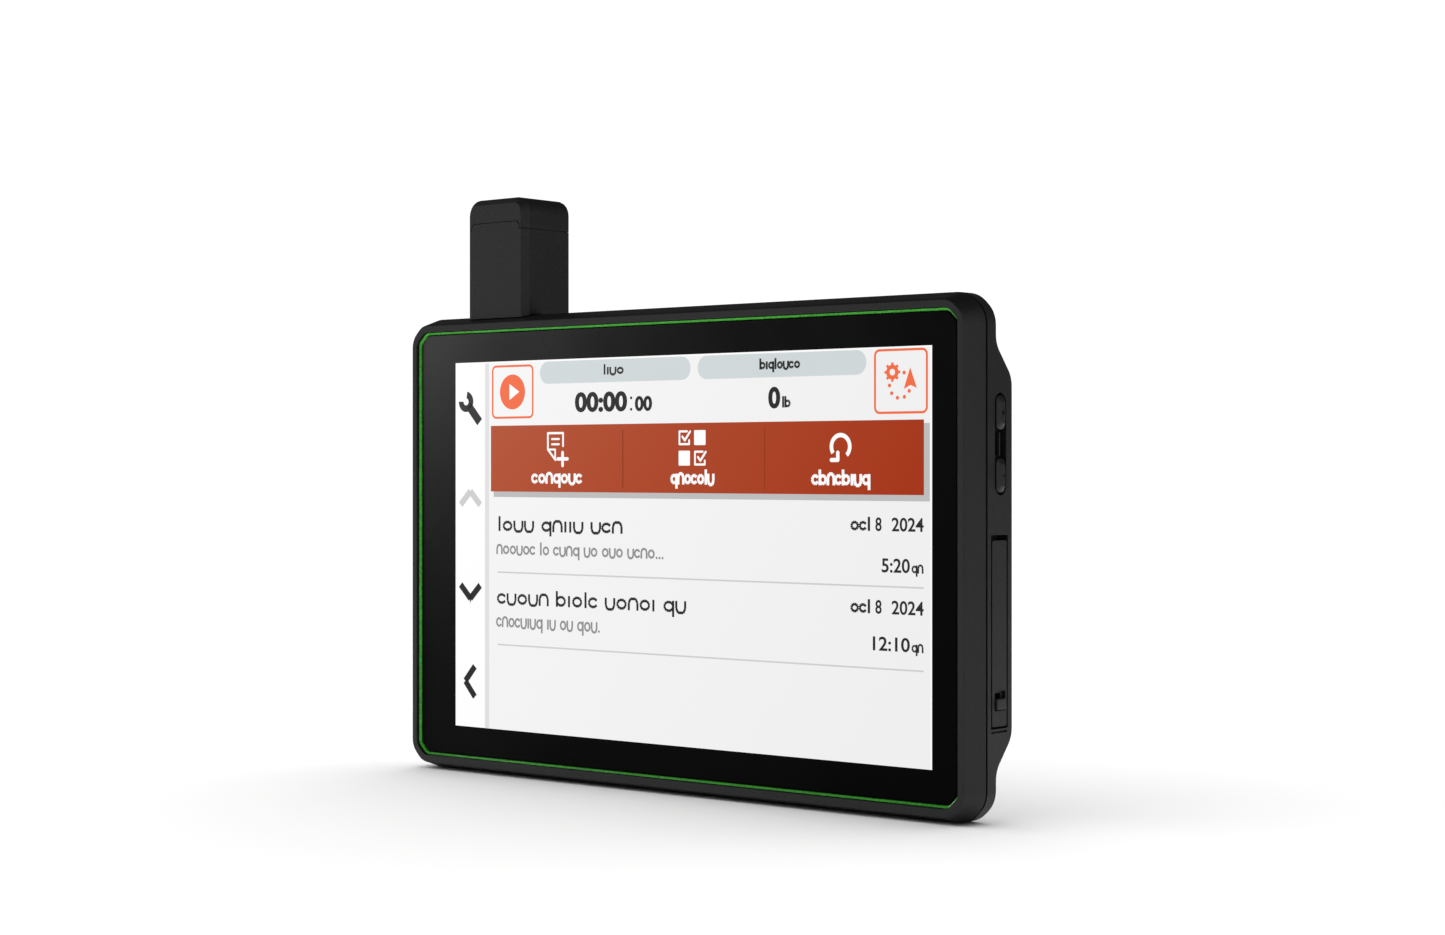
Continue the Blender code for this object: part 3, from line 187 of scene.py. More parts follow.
def metal(name, colour, roughness, grain_mm, stretch=(1, 1, 1), depth_mm=0.004):
    """Bare or plated metal: fine scratches or blast grain break the gloss."""
    made, tree, shader = new_material(name, {"Metallic": 1.0, "Roughness": roughness})
    grain = pattern(tree, grain_mm, 2.0, stretch)
    colour = linear(colour)
    tree.links.new(mixed(tree, spread(tree, grain, 0, 1), shade(colour, 0.82), colour), shader.inputs["Base Color"])
    tree.links.new(spread(tree, grain, roughness * 0.75, roughness * 1.25), shader.inputs["Roughness"])
    relief(tree, shader, grain, depth_mm)
    return made


def printed_glass(name):
    """Chemically toughened cover glass, printed black behind, with an anti-glare coat that holds back its mirror."""
    made, tree, shader = new_material(name, COATED_GLASS)
    smear = pattern(tree, SMEAR_MM)
    tree.links.new(spread(tree, smear, 0.24, 0.28), shader.inputs["Roughness"])
    return made


def screen_ink(name, colour, sheen_free_colour=None, sheen_span_mm=150.0):
    """Light of the display behind the coated glass, with the panel's faint unevenness; with a second colour it fades
    along X, leaning with height: a painted sheen, lightest toward the upper left.
    """
    made, tree, shader = new_material(name, COATED_GLASS)
    near = linear(colour)
    if sheen_free_colour:
        # Painted sheen: the first colour at the upper left fades diagonally into the second, darker colour
        place = add(tree, "ShaderNodeTexCoord").outputs["Object"]
        x, z = (add(tree, "ShaderNodeSeparateXYZ", links={"Vector": place}).outputs[axis] for axis in ("X", "Z"))
        diagonal = add(tree, "ShaderNodeMath", {1: -PAINTED_SHEEN_LEAN}, {0: z, 2: x}, operation="MULTIPLY_ADD")
        start = LIT[0] - sheen_span_mm * MM / 2 - PAINTED_SHEEN_LEAN * LIT[2]
        values = {"From Min": start, "From Max": start + sheen_span_mm * MM}
        factor = add(tree, "ShaderNodeMapRange", values, {"Value": diagonal.outputs[0]}).outputs["Result"]
        light = mixed(tree, factor, near, linear(sheen_free_colour))
    else:
        light = mixed(tree, spread(tree, pattern(tree, 40.0), 0, 1), shade(near, 0.97), near)
    tree.links.new(light, shader.inputs["Emission Color"])
    shader.inputs["Emission Strength"].default_value = 1.0
    return made


def circuit_board_finish(name):
    """Epoxy laminate under green solder mask: tracks show as a faint lattice through the mask."""
    made, tree, shader = new_material(name, {"Roughness": 0.35, "Coat Weight": 0.4, "Coat Roughness": 0.2})
    place = add(tree, "ShaderNodeTexCoord").outputs["Object"]
    brick = add(tree, "ShaderNodeTexBrick", {"Scale": 1 / (9 * MM), "Mortar Size": 0.035}, {"Vector": place})
    brick.inputs["Color1"].default_value = linear("#0d4a26")
    brick.inputs["Color2"].default_value = linear("#0f5a2e")
    brick.inputs["Mortar"].default_value = linear("#2a8c50")
    tree.links.new(brick.outputs["Color"], shader.inputs["Base Color"])
    relief(tree, shader, brick.outputs["Fac"], 0.03)
    return made


def make_finishes():
    """Every finish of the object, by the name that the pieces ask for."""
    settings = bpy.context.scene.navigator_finish
    body, trim = to_hex(settings.body_colour), to_hex(settings.trim_colour)
    return {
        # Glass-filled nylon from a spark-eroded tool: matt with fine dark specks, drawn at 0.5 mm so that they show
        "housing": moulded("glass_filled_nylon_black", body, 0.5, 0.5, 0.05),
        # Polycarbonate from a polished tool, on what fingers touch: a satin gleam
        "key": moulded("satin_polycarbonate_black", "#181818", 0.45, 0.6, 0.01),
        # Two-shot moulded accent: a clear, even colour with a soft gloss
        "trim": moulded("accent_polycarbonate_green", trim, 0.35, 0.8, 0.003),
        # Printed and coated cover glass: deep black with a dull, wide sheen
        "glass": printed_glass("printed_cover_glass"),
        # Moulded silicone: no gloss at all
        "rubber": moulded("silicone_rubber_black", "#101010", 0.75, 0.5, 0.01),
        # Zinc-nickel plated screws: grey with a broken shine
        "steel": metal("zinc_nickel_steel", "#8d8d90", 0.35, 0.35),
        # Drawn and tinned sheet: pale, streaked along the draw
        "tin": metal("tin_plated_steel", "#b9b9bb", 0.3, 0.5, (1, 1, 8)),
        # Bead-blasted and dark anodised: an even charcoal with a fine grain
        "anodised": metal("bead_blasted_anodised_aluminium", "#3b3b3d", 0.45, 0.25, depth_mm=0.01),
        # Turned and knurled brass: yellow with sharp little ridges
        "brass": metal("knurled_brass", "#b98a3e", 0.3, 0.4, (1, 6, 1), 0.02),
        # Gold plate on a polished pin: warm and bright
        "gold": metal("gold_plated_contact", "#d9a441", 0.22, 0.5),
        # Laminated pouch foil: dull silver, slightly crumpled
        "foil": metal("battery_pouch_foil", "#8f9092", 0.4, 2.5, depth_mm=0.05),
        "board": circuit_board_finish("solder_masked_laminate"),
        # Cast polyimide film: a glossy amber
        "film": moulded("polyimide_film_amber", "#a4641c", 0.3, 1.5, 0.004),
        # Fired, unglazed ceramic: chalky off-white
        "ceramic": moulded("unglazed_alumina", "#d8d2c6", 0.6, 0.4, 0.01),
        # Diffusing film at the back of the display: even and white
        "panel": moulded("display_film_white", "#dcdcdc", 0.4, 1.0, 0.004),
    }


def to_hex(colour):
    """A linear colour property as "#rrggbb" sRGB."""
    srgb = [12.92 * c if c <= 0.0031308 else 1.055 * c ** (1 / 2.4) - 0.055 for c in colour]
    return "#" + "".join(f"{round(255 * c):02x}" for c in srgb)


FINISHES = {}


def finish(name):
    """One of the object's finishes; all are made when the first is asked for."""
    if not FINISHES:
        FINISHES.update(make_finishes())
    return FINISHES[name]


# ---------------------------------------------------------------- pieces

WELD = 2e-6  # m; corners closer than this are one
FLAT = 0.8  # degrees; faces that meet at less are one flat face
MARK_WIDTHS = {"o": 1.0, "n": 0.95, "u": 0.95, "l": 0.45, "i": 0.42, "c": 0.85, "b": 1.0, "q": 1.0, " ": 0.55, ".": 0.4}
MARK_BOLD = 1.55  # how much heavier than its nominal weight a made-up mark is drawn


def new_piece(name, bm, material, body, replaces=(), smooth=40):
    """A finished piece from a bmesh in row-frame metres, riding on a body."""
    mesh = bpy.data.meshes.new(name)
    bm.to_mesh(mesh)
    bm.free()
    piece = bpy.data.objects.new(name, mesh)
    bpy.context.scene.collection.objects.link(piece)
    mesh.materials.append(material)
    mesh.shade_smooth()
    mesh.set_sharp_from_angle(angle=radians(smooth))
    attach(piece, body)
    if replaces:
        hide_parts(*replaces)
    return piece


def softened(node, name, width_mm, material, body="navigator", steps=2, angle=28):
    """A node's own shape with its edges broken, as a moulding's or a milled part's are."""
    bm = bmesh.new()
    bm.from_mesh(frame["nodes"][node].data)
    bmesh.ops.remove_doubles(bm, verts=bm.verts, dist=WELD)
    bmesh.ops.dissolve_limit(bm, angle_limit=radians(FLAT), verts=bm.verts, edges=bm.edges)
    if width_mm:
        edges = []
        for edge in bm.edges:
            if len(edge.link_faces) == 2 and edge.calc_face_angle() > radians(angle):
                edges.append(edge)
        values = {"offset": width_mm * MM, "offset_type": "OFFSET", "segments": steps, "profile": 0.5}
        bmesh.ops.bevel(bm, geom=edges, affect="EDGES", clamp_overlap=True, material=-1, **values)
    piece = new_piece(name, bm, material, body, (node,))
    weighted = piece.modifiers.new("face weighted shading", "WEIGHTED_NORMAL")
    weighted.keep_sharp = True
    return piece


def refinish(node, material):
    """A node whose shape is right gets its finish."""
    mesh = frame["nodes"][node].data
    mesh.materials.clear()
    mesh.materials.append(material)


class Picture:
    """Flat shapes of one layer of the screen's picture, in mm from the middle of the lit area."""

    def __init__(self, layer):
        self.layer = layer
        self.bm = bmesh.new()

    def rect(self, left, low, right, high, radius=0.0):
        """A rectangle, with rounded corners when it has a radius."""
        size = Matrix.Diagonal((right - left, high - low, 1, 1))
        place = Matrix.Translation(((left + right) / 2, (low + high) / 2, 0)) @ size
        made = bmesh.ops.create_grid(self.bm, x_segments=1, y_segments=1, size=0.5, matrix=place)
        if radius:
            bmesh.ops.bevel(
                self.bm, geom=made["verts"], offset=radius, segments=5, profile=0.5, affect="VERTICES", material=-1
            )

    def disc(self, x, z, radius, sides=28):
        bmesh.ops.create_circle(
            self.bm, cap_ends=True, radius=radius, segments=sides, matrix=Matrix.Translation((x, z, 0))
        )

    def arc(self, x, z, radius, width, start=0.0, turn=360.0):
        """Part of a ring, from an angle on, anticlockwise, in degrees."""
        ends = []
        for r in (radius - width / 2, radius + width / 2):
            ends.append(self.bm.verts.new((x + r * cos(radians(start)), z + r * sin(radians(start)), 0)))
        edge = self.bm.edges.new(ends)
        full = abs(turn) >= 360
        bmesh.ops.spin(
            self.bm,
            geom=ends + [edge],
            cent=(x, z, 0),
            axis=(0, 0, 1),
            dvec=(0, 0, 0),
            angle=radians(turn),
            steps=max(6, int(abs(turn) / 12)),
            use_merge=full,
        )
        if full:
            bmesh.ops.remove_doubles(self.bm, verts=self.bm.verts, dist=1e-4)

    def line(self, points, width, caps=True):
        """A stroke through the points, with round ends and joints."""
        for (x0, z0), (x1, z1) in zip(points, points[1:]):
            run = Vector((x1 - x0, z1 - z0))
            across = Vector((-run.y, run.x)).normalized() * width / 2
            corners = [(x0, z0, 1), (x1, z1, 1), (x1, z1, -1), (x0, z0, -1)]
            self.bm.faces.new([self.bm.verts.new((x + s * across.x, z + s * across.y, 0)) for x, z, s in corners])
        if caps:
            for x, z in points:
                self.disc(x, z, width / 2, 12)

    def shape(self, points):
        """A filled polygon."""
        self.bm.faces.new([self.bm.verts.new((x, z, 0)) for x, z in points])

    def number(self, text, left, low, right, high, weight=0.018):
        """Numerals that fill a box."""
        curve = bpy.data.curves.new("numerals", "FONT")
        curve.body = text
        curve.offset = weight
        curve.resolution_u = 4
        source = bpy.data.objects.new("numerals", curve)
        bpy.context.scene.collection.objects.link(source)
        mesh = bpy.data.meshes.new_from_object(source.evaluated_get(bpy.context.evaluated_depsgraph_get()))
        xs = [v.co.x for v in mesh.vertices]
        ys = [v.co.y for v in mesh.vertices]
        scale = ((right - left) / (max(xs) - min(xs)), (high - low) / (max(ys) - min(ys)))
        for vertex in mesh.vertices:
            x, y = vertex.co.x, vertex.co.y
            vertex.co = (left + (x - min(xs)) * scale[0], low + (y - min(ys)) * scale[1], 0)
        self.bm.from_mesh(mesh)
        bpy.data.objects.remove(source)
        bpy.data.curves.remove(curve)
        bpy.data.meshes.remove(mesh)

    def words(self, marks, left, low, right, high, weight):
        """A line of made-up strokes that stands for writing: it fills a box and spells nothing."""
        weight *= MARK_BOLD
        unit = (right - left) / sum(MARK_WIDTHS[mark] for mark in marks)
        r = 0.36 * unit  # half of a round mark's width
        base = low + 0.22 * (high - low)
        body_high = 0.56 * (high - low)
        top = base + body_high
        x = left
        for mark in marks:
            width = MARK_WIDTHS[mark] * unit
            middle = x + width / 2
            if mark in "obqc":
                self.oval(middle, base, top, r, weight, gap=mark == "c")
            if mark == "b":
                self.line([(middle - r, base), (middle - r, high)], weight, False)
            if mark == "q":
                self.line([(middle + r, top), (middle + r, low)], weight, False)
            if mark == "l":
                self.line([(middle, base), (middle, high)], weight, False)
            if mark == "i":
                self.line([(middle, base), (middle, top)], weight, False)
            if mark in "nu":
                turned, foot = (base, top) if mark == "u" else (top, base)
                knee = turned + (0.35 if mark == "u" else -0.35) * body_high
                left_leg = [(middle - r, foot), (middle - r, knee), (middle - 0.6 * r, turned)]
                right_leg = [(middle + 0.6 * r, turned), (middle + r, knee), (middle + r, foot)]
                self.line(left_leg + right_leg, weight, False)
            if mark == ".":
                self.disc(middle, base + weight / 2, weight * 0.6, 8)
            x += width

    def oval(self, x, low, high, r, weight, gap=False):
        """An upright oval stroke, open on the right when it has a gap."""
        middle, half = (low + high) / 2, (high - low) / 2
        steps = 12
        first, last = (1, steps - 1) if gap else (0, steps)
        points = []
        for i in range(first, last + 1):
            angle = 2 * pi * i / steps
            points.append((x + r * cos(angle), middle + (half - weight / 2) * sin(angle)))
        self.line(points, weight, False)

    def make(self, name, material):
        """The layer as one thin piece on the glass."""
        bm = self.bm
        flat = list(bm.faces)
        bmesh.ops.recalc_face_normals(bm, faces=flat)
        for face in flat:
            if face.normal.z < 0:
                face.normal_flip()
        made = bmesh.ops.extrude_face_region(bm, geom=flat)
        raised = [item for item in made["geom"] if isinstance(item, bmesh.types.BMVert)]
        bmesh.ops.translate(bm, verts=raised, vec=(0, 0, INK_THICK))
        upright = Matrix.Translation(LIT) @ Matrix.Rotation(pi / 2, 4, "X") @ Matrix.Scale(MM, 4)
        lift = Matrix.Translation((0, 0, self.layer * INK_THICK))
        bmesh.ops.transform(bm, matrix=upright @ lift, verts=bm.verts)
        bmesh.ops.recalc_face_normals(bm, faces=bm.faces)
        return new_piece(name, bm, material, "navigator")


# ---------------------------------------------------------------- the screen's picture

# All in mm from the middle of the lit area; a box is left, low, right, high
FIELD_LEFT = -73.8  # right edge of the side column
COLUMN = -79.9  # middle of the side column's arrows
PILLS = ((-51.4, 46.9, 5.7, 53.3), (8.3, 46.9, 65.5, 53.3))
BUTTONS = ((-70.9, 37.1, -54.0, 52.7), (68.0, 36.6, 84.9, 53.3))
BAR = (-71.3, 15.8, 83.7, 35.05)
BAR_THIRDS = (-19.2, 31.8)
CAPTION_LOW, CAPTION_HIGH = 17.0, 22.3
LIST_LEFT, LIST_RIGHT = -68.8, 83.6
DATE_ROWS = (6.4, -14.9)
HOUR_ROWS = (-4.2, -24.4)
RULES = (-7.8, -29.0)  # below each message
HAIRLINE = 0.22  # half the width of a thin line
CHEVRON = 2.0  # stroke of the side column's arrows


def screen_ground():
    """The lit panel, the pale field and the edge of the side column."""
    ground = Picture(0)
    ground.rect(-LIT_HALF_W, -LIT_HALF_H, LIT_HALF_W, LIT_HALF_H)
    piece = ground.make("screen_ground", screen_ink("display_white", "#ffffff"))
    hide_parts("display_panel")
    field = Picture(1)
    field.rect(FIELD_LEFT, -LIT_HALF_H + 0.02, LIT_HALF_W - 0.5, LIT_HALF_H - 0.4)
    # The field fades from #f5f5f5 to #eeeeee: a painted sheen, lightest toward the upper left
    field.make("screen_field", screen_ink("display_pale_grey", "#f5f5f5", "#eeeeee", 260))
    edge = Picture(2)
    edge.rect(FIELD_LEFT, -LIT_HALF_H + 0.03, FIELD_LEFT + 1.7, LIT_HALF_H - 0.45)
    edge.make("screen_column_edge", screen_ink("display_light_grey", "#e1e1e1"))


def screen_shadow_and_pills():
    """The two label pills, the orange command bar, its seams and the shadow it drops."""
    left, low, right, high = BAR
    drop = Picture(3)
    drop.rect(left + 1.1, low - 1.6, right + 1.8, high - 0.9)
    drop.make("screen_bar_shadow", screen_ink("display_shadow_grey", "#bebebe"))
    pills = Picture(2)
    for pill in PILLS:
        pills.rect(*pill, 3.1)
    pills.make("screen_label_pills", screen_ink("display_blue_grey", "#d1d8da"))
    bar = Picture(4)
    bar.rect(left, low, right, high)
    # The bar fades from #b2502f to #a23010: a painted sheen, lightest toward the upper left
    bar.make("screen_command_bar", screen_ink("display_rust_orange", "#b2502f", "#a23010", 190))
    seams = Picture(5)
    for x in BAR_THIRDS:
        seams.rect(x - HAIRLINE, low + 1.2, x + HAIRLINE, high - 1.6)
    seams.make("screen_bar_seams", screen_ink("display_deep_orange", "#93391c"))


def screen_dark_marks():
    """Tools, arrows, counters and the message list, in near-black."""
    marks = Picture(3)
    wrench(marks, -81.7, 42.3)
    marks.line([(COLUMN - 4.1, -11.9), (COLUMN, -15.9), (COLUMN + 4.1, -11.9)], CHEVRON, False)
    marks.line([(COLUMN + 1.9, -35.9), (COLUMN - 2.1, -40.4), (COLUMN + 1.9, -44.9)], CHEVRON, False)
    marks.shape([(COLUMN - 0.7, -15.2), (COLUMN, -17.3), (COLUMN + 0.7, -15.2)])
    marks.number("00:00", -37.6, 38.5, -17.6, 44.3, 0.04)
    for z in (42.3, 39.1):
        marks.disc(-16.1, z, 0.42, 12)
    marks.number("00", -14.7, 38.5, -8.3, 42.8, 0.04)
    marks.number("0", 33.0, 38.5, 37.1, 44.4, 0.04)
    marks.words("lb", 37.6, 37.9, 40.6, 41.8, 0.42)
    marks.words("liuo", -26.8, 48.2, -18.8, 52.0, 0.42)
    marks.words("biqlouco", 30.0, 48.2, 43.8, 52.0, 0.42)
    marks.words("louu qniiu ucn", LIST_LEFT, 3.0, -19.2, 8.6, 0.52)
    marks.words("cuoun biolc uonoi qu", LIST_LEFT, -18.4, 4.3, -12.6, 0.5)
    for z in DATE_ROWS:
        marks.words("ocl", 60.3, z - 1.0, 67.0, z + 3.7, 0.48)
        marks.number("8", 68.4, z, 70.4, z + 3.6)
        marks.number("2024", 73.6, z, 83.6, z + 3.6)
    for hour, left, z in zip(("5:20", "12:10"), (70.4, 67.6), HOUR_ROWS):
        marks.number(hour, left, z, 79.3, z + 3.7)
    for z in HOUR_ROWS:
        marks.words("qn", 79.8, z - 0.8, 83.5, z + 2.9, 0.34)
    marks.make("screen_dark_marks", screen_ink("display_near_black", "#2c2c2c"))


def wrench(marks, x, z):
    """An open-ended spanner, leaning to the right."""
    marks.arc(x, z, 2.05, 2.0, 178, 262)
    marks.line([(x + 1.2, z - 1.3), (x + 5.7, z - 6.1)], 2.7, False)


def screen_grey_marks():
    """The messages' second lines, the thin rules below them and the side column's pale arrow."""
    marks = Picture(3)
    marks.words("noouoc lo cunq uo ouo ucno...", LIST_LEFT - 0.3, -3.6, -3.9, 1.2, 0.4)
    marks.words("cnocuiuq iu ou qou.", LIST_LEFT - 0.3, -25.0, -27.8, -19.8, 0.4)
    marks.make("screen_grey_marks", screen_ink("display_mid_grey", "#8f8f8f"))
    rules = Picture(2)
    for z in RULES:
        rules.rect(LIST_LEFT + 0.3, z - HAIRLINE, LIST_RIGHT, z + HAIRLINE)
    rules.line([(COLUMN - 4.1, 11.8), (COLUMN, 15.8), (COLUMN + 4.1, 11.8)], CHEVRON, False)
    rules.make("screen_list_rules", screen_ink("display_rule_grey", "#cfcfcf"))


def screen_white_marks():
    """What stands on the orange bar: a note, a board of ticks and a turning arrow, with their captions."""
    marks = Picture(5)
    note = [(-45.2, 25.0), (-48.2, 28.0), (-48.2, 32.7), (-42.2, 32.7), (-42.2, 29.0)]
    marks.line(note, 0.65)
    marks.line([(-48.2, 28.0), (-45.3, 28.0), (-45.3, 25.0)], 0.55)
    for z in (31.0, 29.5):
        marks.line([(-46.6, z), (-43.8, z)], 0.6)
    marks.line([(-44.3, 25.3), (-40.5, 25.3)], 1.0)
    marks.line([(-42.4, 27.1), (-42.4, 23.4)], 1.0)
    for x, z, ticked in ((3.5, 31.0, True), (9.1, 31.0, False), (3.5, 25.4, False), (9.1, 25.4, True)):
        if ticked:
            marks.line([(x + 1.0, z + 1.75), (x - 1.75, z + 1.75), (x - 1.75, z - 1.75), (x + 1.75, z - 1.75)], 0.6)
            marks.line([(x + 1.75, z - 1.75), (x + 1.75, z - 0.7)], 0.6)
            marks.line([(x - 0.7, z + 0.3), (x + 0.2, z - 0.7), (x + 2.1, z + 1.7)], 0.65)
        else:
            marks.rect(x - 2.05, z - 2.05, x + 2.05, z + 2.05, 0.3)
    marks.arc(57.2, 28.3, 3.0, 1.15, -48, 262)
    marks.line([(56.3, 26.7), (56.3, 24.8), (54.2, 24.8)], 1.1)
    for caption, left, right in (("conqouc", -54.7, -34.7), ("qnocolu", -1.5, 14.2), ("cbncbiuq", 47.7, 66.8)):
        marks.words(caption, left, CAPTION_LOW, right, CAPTION_HIGH, 0.55)
    marks.make("screen_white_marks", screen_ink("display_mark_white", "#ffffff"))


def screen_orange_marks():
    """The two outlined buttons: a play disc, and a gear with a dotted way to a pointer."""
    marks = Picture(3)
    for left, low, right, high in BUTTONS:
        outline(marks, left + 0.3, low + 0.3, right - 0.3, high - 0.3, 1.4, 0.62)
    marks.disc(-62.5, 44.85, 5.1, 40)
    gear(marks, 73.8, 47.3, 1.75)
    marks.shape([(79.4, 48.4), (77.4, 42.9), (79.5, 43.9), (81.5, 43.1)])
    for x, z in ((77.5, 47.1), (72.9, 43.9), (73.6, 41.9), (75.4, 40.7), (77.6, 40.9), (79.1, 42.4)):
        marks.disc(x, z, 0.52, 12)
    marks.make("screen_orange_marks", screen_ink("display_orange", "#f36f47"))
    arrow = Picture(4)
    arrow.shape([(-63.7, 47.2), (-63.7, 42.5), (-59.7, 44.85)])
    arrow.make("screen_play_arrow", screen_ink("display_arrow_white", "#ffffff"))


def outline(marks, left, low, right, high, radius, width):
    """A rounded rectangle drawn as a line."""
    corners = ((right, high, 0), (left, high, 90), (left, low, 180), (right, low, 270))
    for x, z, start in corners:
        inner_x = x - radius if x == right else x + radius
        inner_z = z - radius if z == high else z + radius
        marks.arc(inner_x, inner_z, radius, width, start, 90)
    half = width / 2
    marks.rect(left + radius, high - half, right - radius, high + half)
    marks.rect(left + radius, low - half, right - radius, low + half)
    marks.rect(left - half, low + radius, left + half, high - radius)
    marks.rect(right - half, low + radius, right + half, high - radius)


def gear(marks, x, z, radius, teeth=8):
    """A toothed wheel with an open middle."""
    marks.arc(x, z, radius * 0.8, radius * 0.62)
    for i in range(teeth):
        angle = 2 * pi * i / teeth
        ends = [(x + r * cos(angle), z + r * sin(angle)) for r in (radius, radius * 1.42)]
        marks.line(ends, radius * 0.42, False)


# ---------------------------------------------------------------- set

FLOOR_RADIUS = 0.75  # m
KEY_LIGHT = (-0.7, -0.6, 0.4)  # the way to the main softbox
SIDE_LIGHT = (0.92, -0.22, 0.3)  # the way to the side softbox
BACKDROP = 1.05  # radiance behind the object, a little over white
SHEEN_AIM = (-60, 0, 30)  # mm from the middle of the glass
SHEEN_TURN = 66.0  # degrees from the glass's normal
SHEEN_AWAY, SHEEN_RISE, SHEEN_SIZE = 1.2, 0.42, 0.8  # m
FLOOR_LIGHTS = {"floor_light_rear": (0, -0.7, -1), "floor_light_left": (0.6, 0.35, -1)}  # the way each one shines
FLOOR_LIGHT_SPREAD = 80.0  # degrees


def studio(settings):
    """A pale round floor, softboxes painted on the studio's sky, lamps for the glass and floor, and the camera."""
    floor = floor_disc()
    studio_sky(settings)
    lamps(settings, floor)
    camera = bpy.data.cameras.new("camera")
    camera.lens, camera.sensor_width = CAMERA_LENS, CAMERA_SENSOR
    camera.clip_start = 0.01
    eye = bpy.data.objects.new("camera", camera)
    eye.location = glass_front() + Vector(CAMERA_PLACE) * MM
    eye.rotation_euler = (pi / 2, 0, radians(CAMERA_TURN))
    bpy.context.scene.collection.objects.link(eye)
    bpy.context.scene.camera = eye
    bpy.context.scene.view_settings.view_transform = "Standard"


def floor_disc():
    """The studio's floor."""
    bm = bmesh.new()
    bmesh.ops.create_circle(bm, cap_ends=True, segments=96, radius=FLOOR_RADIUS)
    mesh = bpy.data.meshes.new("studio_floor")
    bm.to_mesh(mesh)
    bm.free()
    floor = bpy.data.objects.new("studio_floor", mesh)
    bpy.context.scene.collection.objects.link(floor)
    # Rolled paper: no gloss; strong lamps of its own bring it to white
    values = {"Base Color": (0.5, 0.5, 0.5, 1), "Roughness": 0.9, "Specular IOR Level": 0.0}
    mesh.materials.append(new_material("seamless_paper", values)[0])
    return floor


def studio_sky(settings):
    """Two softboxes and a dark flag overhead light the object; the camera sees an even white behind it."""
    world = bpy.data.worlds.new("studio_sky")
    bpy.context.scene.world = world
    world.use_nodes = True
    tree = world.node_tree
    tree.nodes.clear()
    direction = add(tree, "ShaderNodeTexCoord").outputs["Generated"]
    strength = None
    for middle, low, high, power in (
        (KEY_LIGHT, 0.74, 0.90, settings.key_power),
        (SIDE_LIGHT, 0.55, 0.95, settings.side_power),
        ((0, 0, 1), 0.2, 0.9, -settings.overhead_flag),
    ):
        values = {0: power}
        links = {1: sky_patch(tree, direction, middle, low, high)}
        if strength:
            links[2] = strength
        else:
            values[2] = settings.ambient
        strength = add(tree, "ShaderNodeMath", values, links, operation="MULTIPLY_ADD").outputs[0]
    lit = add(tree, "ShaderNodeBackground", {"Color": WHITE}, {"Strength": strength})
    backdrop = add(tree, "ShaderNodeBackground", {"Color": WHITE, "Strength": BACKDROP})
    seen = add(tree, "ShaderNodeLightPath").outputs["Is Camera Ray"]
    sky = add(tree, "ShaderNodeMixShader", links={0: seen, 1: lit.outputs[0], 2: backdrop.outputs[0]})
    output = add(tree, "ShaderNodeOutputWorld", links={"Surface": sky.outputs[0]})
    output.is_active_output = True


def lamps(settings, floor):
    """A softbox that only the glass and the picture see, and two soft lamps for the floor."""
    front = [piece for piece in bpy.context.scene.objects if piece.name.startswith(("cover_glass_polished", "screen_"))]
    sheen = linked_light("AREA", "glass_sheen_softbox", front)
    sheen.data.shape = "RECTANGLE"
    sheen.data.size = sheen.data.size_y = SHEEN_SIZE
    sheen.data.energy = settings.sheen_power
    target = glass_front() + Vector(SHEEN_AIM) * MM
    turn = radians(SHEEN_TURN)
    sheen.location = target + Vector((-sin(turn), -cos(turn), 0)) * SHEEN_AWAY + Vector((0, 0, SHEEN_RISE))
    sheen.rotation_euler = (target - sheen.location).to_track_quat("-Z", "Y").to_euler()
    for name, way in FLOOR_LIGHTS.items():
        lamp = linked_light("SUN", name, [floor])
        lamp.data.angle = radians(FLOOR_LIGHT_SPREAD)
        lamp.data.energy = settings.floor_power
        lamp.rotation_euler = Vector(way).to_track_quat("-Z", "Y").to_euler()


def glass_front():
    """The middle of the glass's front face."""
    return Vector(((GLASS_LOW.x + GLASS_HIGH.x) / 2, GLASS_LOW.y, (GLASS_LOW.z + GLASS_HIGH.z) / 2))


def linked_light(kind, name, receivers):
    """A light that falls on these objects only, as flags and cards would have it."""
    lamp = bpy.data.objects.new(name, bpy.data.lights.new(name, kind))
    bpy.context.scene.collection.objects.link(lamp)
    lit = bpy.data.collections.new(f"{name}_receivers")
    for piece in receivers:
        lit.objects.link(piece)
    lamp.light_linking.receiver_collection = lit
    return lamp


def sky_patch(tree, direction, middle, low, high):
    """1 near a direction of the sky and 0 away from it, with a soft edge."""
    aim = add(tree, "ShaderNodeVectorMath", {1: Vector(middle).normalized()}, {0: direction}, operation="DOT_PRODUCT")
    values = {"From Min": low, "From Max": high}
    links = {"Value": aim.outputs["Value"]}
    return add(tree, "ShaderNodeMapRange", values, links, interpolation_type="SMOOTHSTEP").outputs["Result"]


# ---------------------------------------------------------------- add-on


class NavigatorFinishSettings(bpy.types.PropertyGroup):
    """Colours of the housing and strengths of the studio's lights"""

    body_colour: FloatVectorProperty(
        name="Body", description="Colour of the housing", subtype="COLOR", size=3, default=linear("#161616")[:3]
    )
    trim_colour: FloatVectorProperty(
        name="Trim", description="The line round the glass", subtype="COLOR", size=3, default=linear("#43bf2f")[:3]
    )
    edge_break: FloatProperty(
        name="Edge break", description="Radius on the housing's edges, in mm", default=0.12, min=0.02, max=0.5
    )
    key_power: FloatProperty(name="Key light", description="Radiance of the main softbox", default=0.7, min=0.0)
    side_power: FloatProperty(name="Side light", description="Radiance of the side softbox", default=0.55, min=0.0)
    overhead_flag: FloatProperty(name="Overhead flag", description="Radiance taken off overhead", default=0.11, min=0.0)
    ambient: FloatProperty(name="Ambient", description="Radiance of the rest of the sky", default=0.14, min=0.0)
    sheen_power: FloatProperty(name="Glass sheen", description="Watts of the glass's softbox", default=95.0, min=0.0)
    floor_power: FloatProperty(name="Floor lights", description="Strength of each floor light", default=3.65, min=0.0)


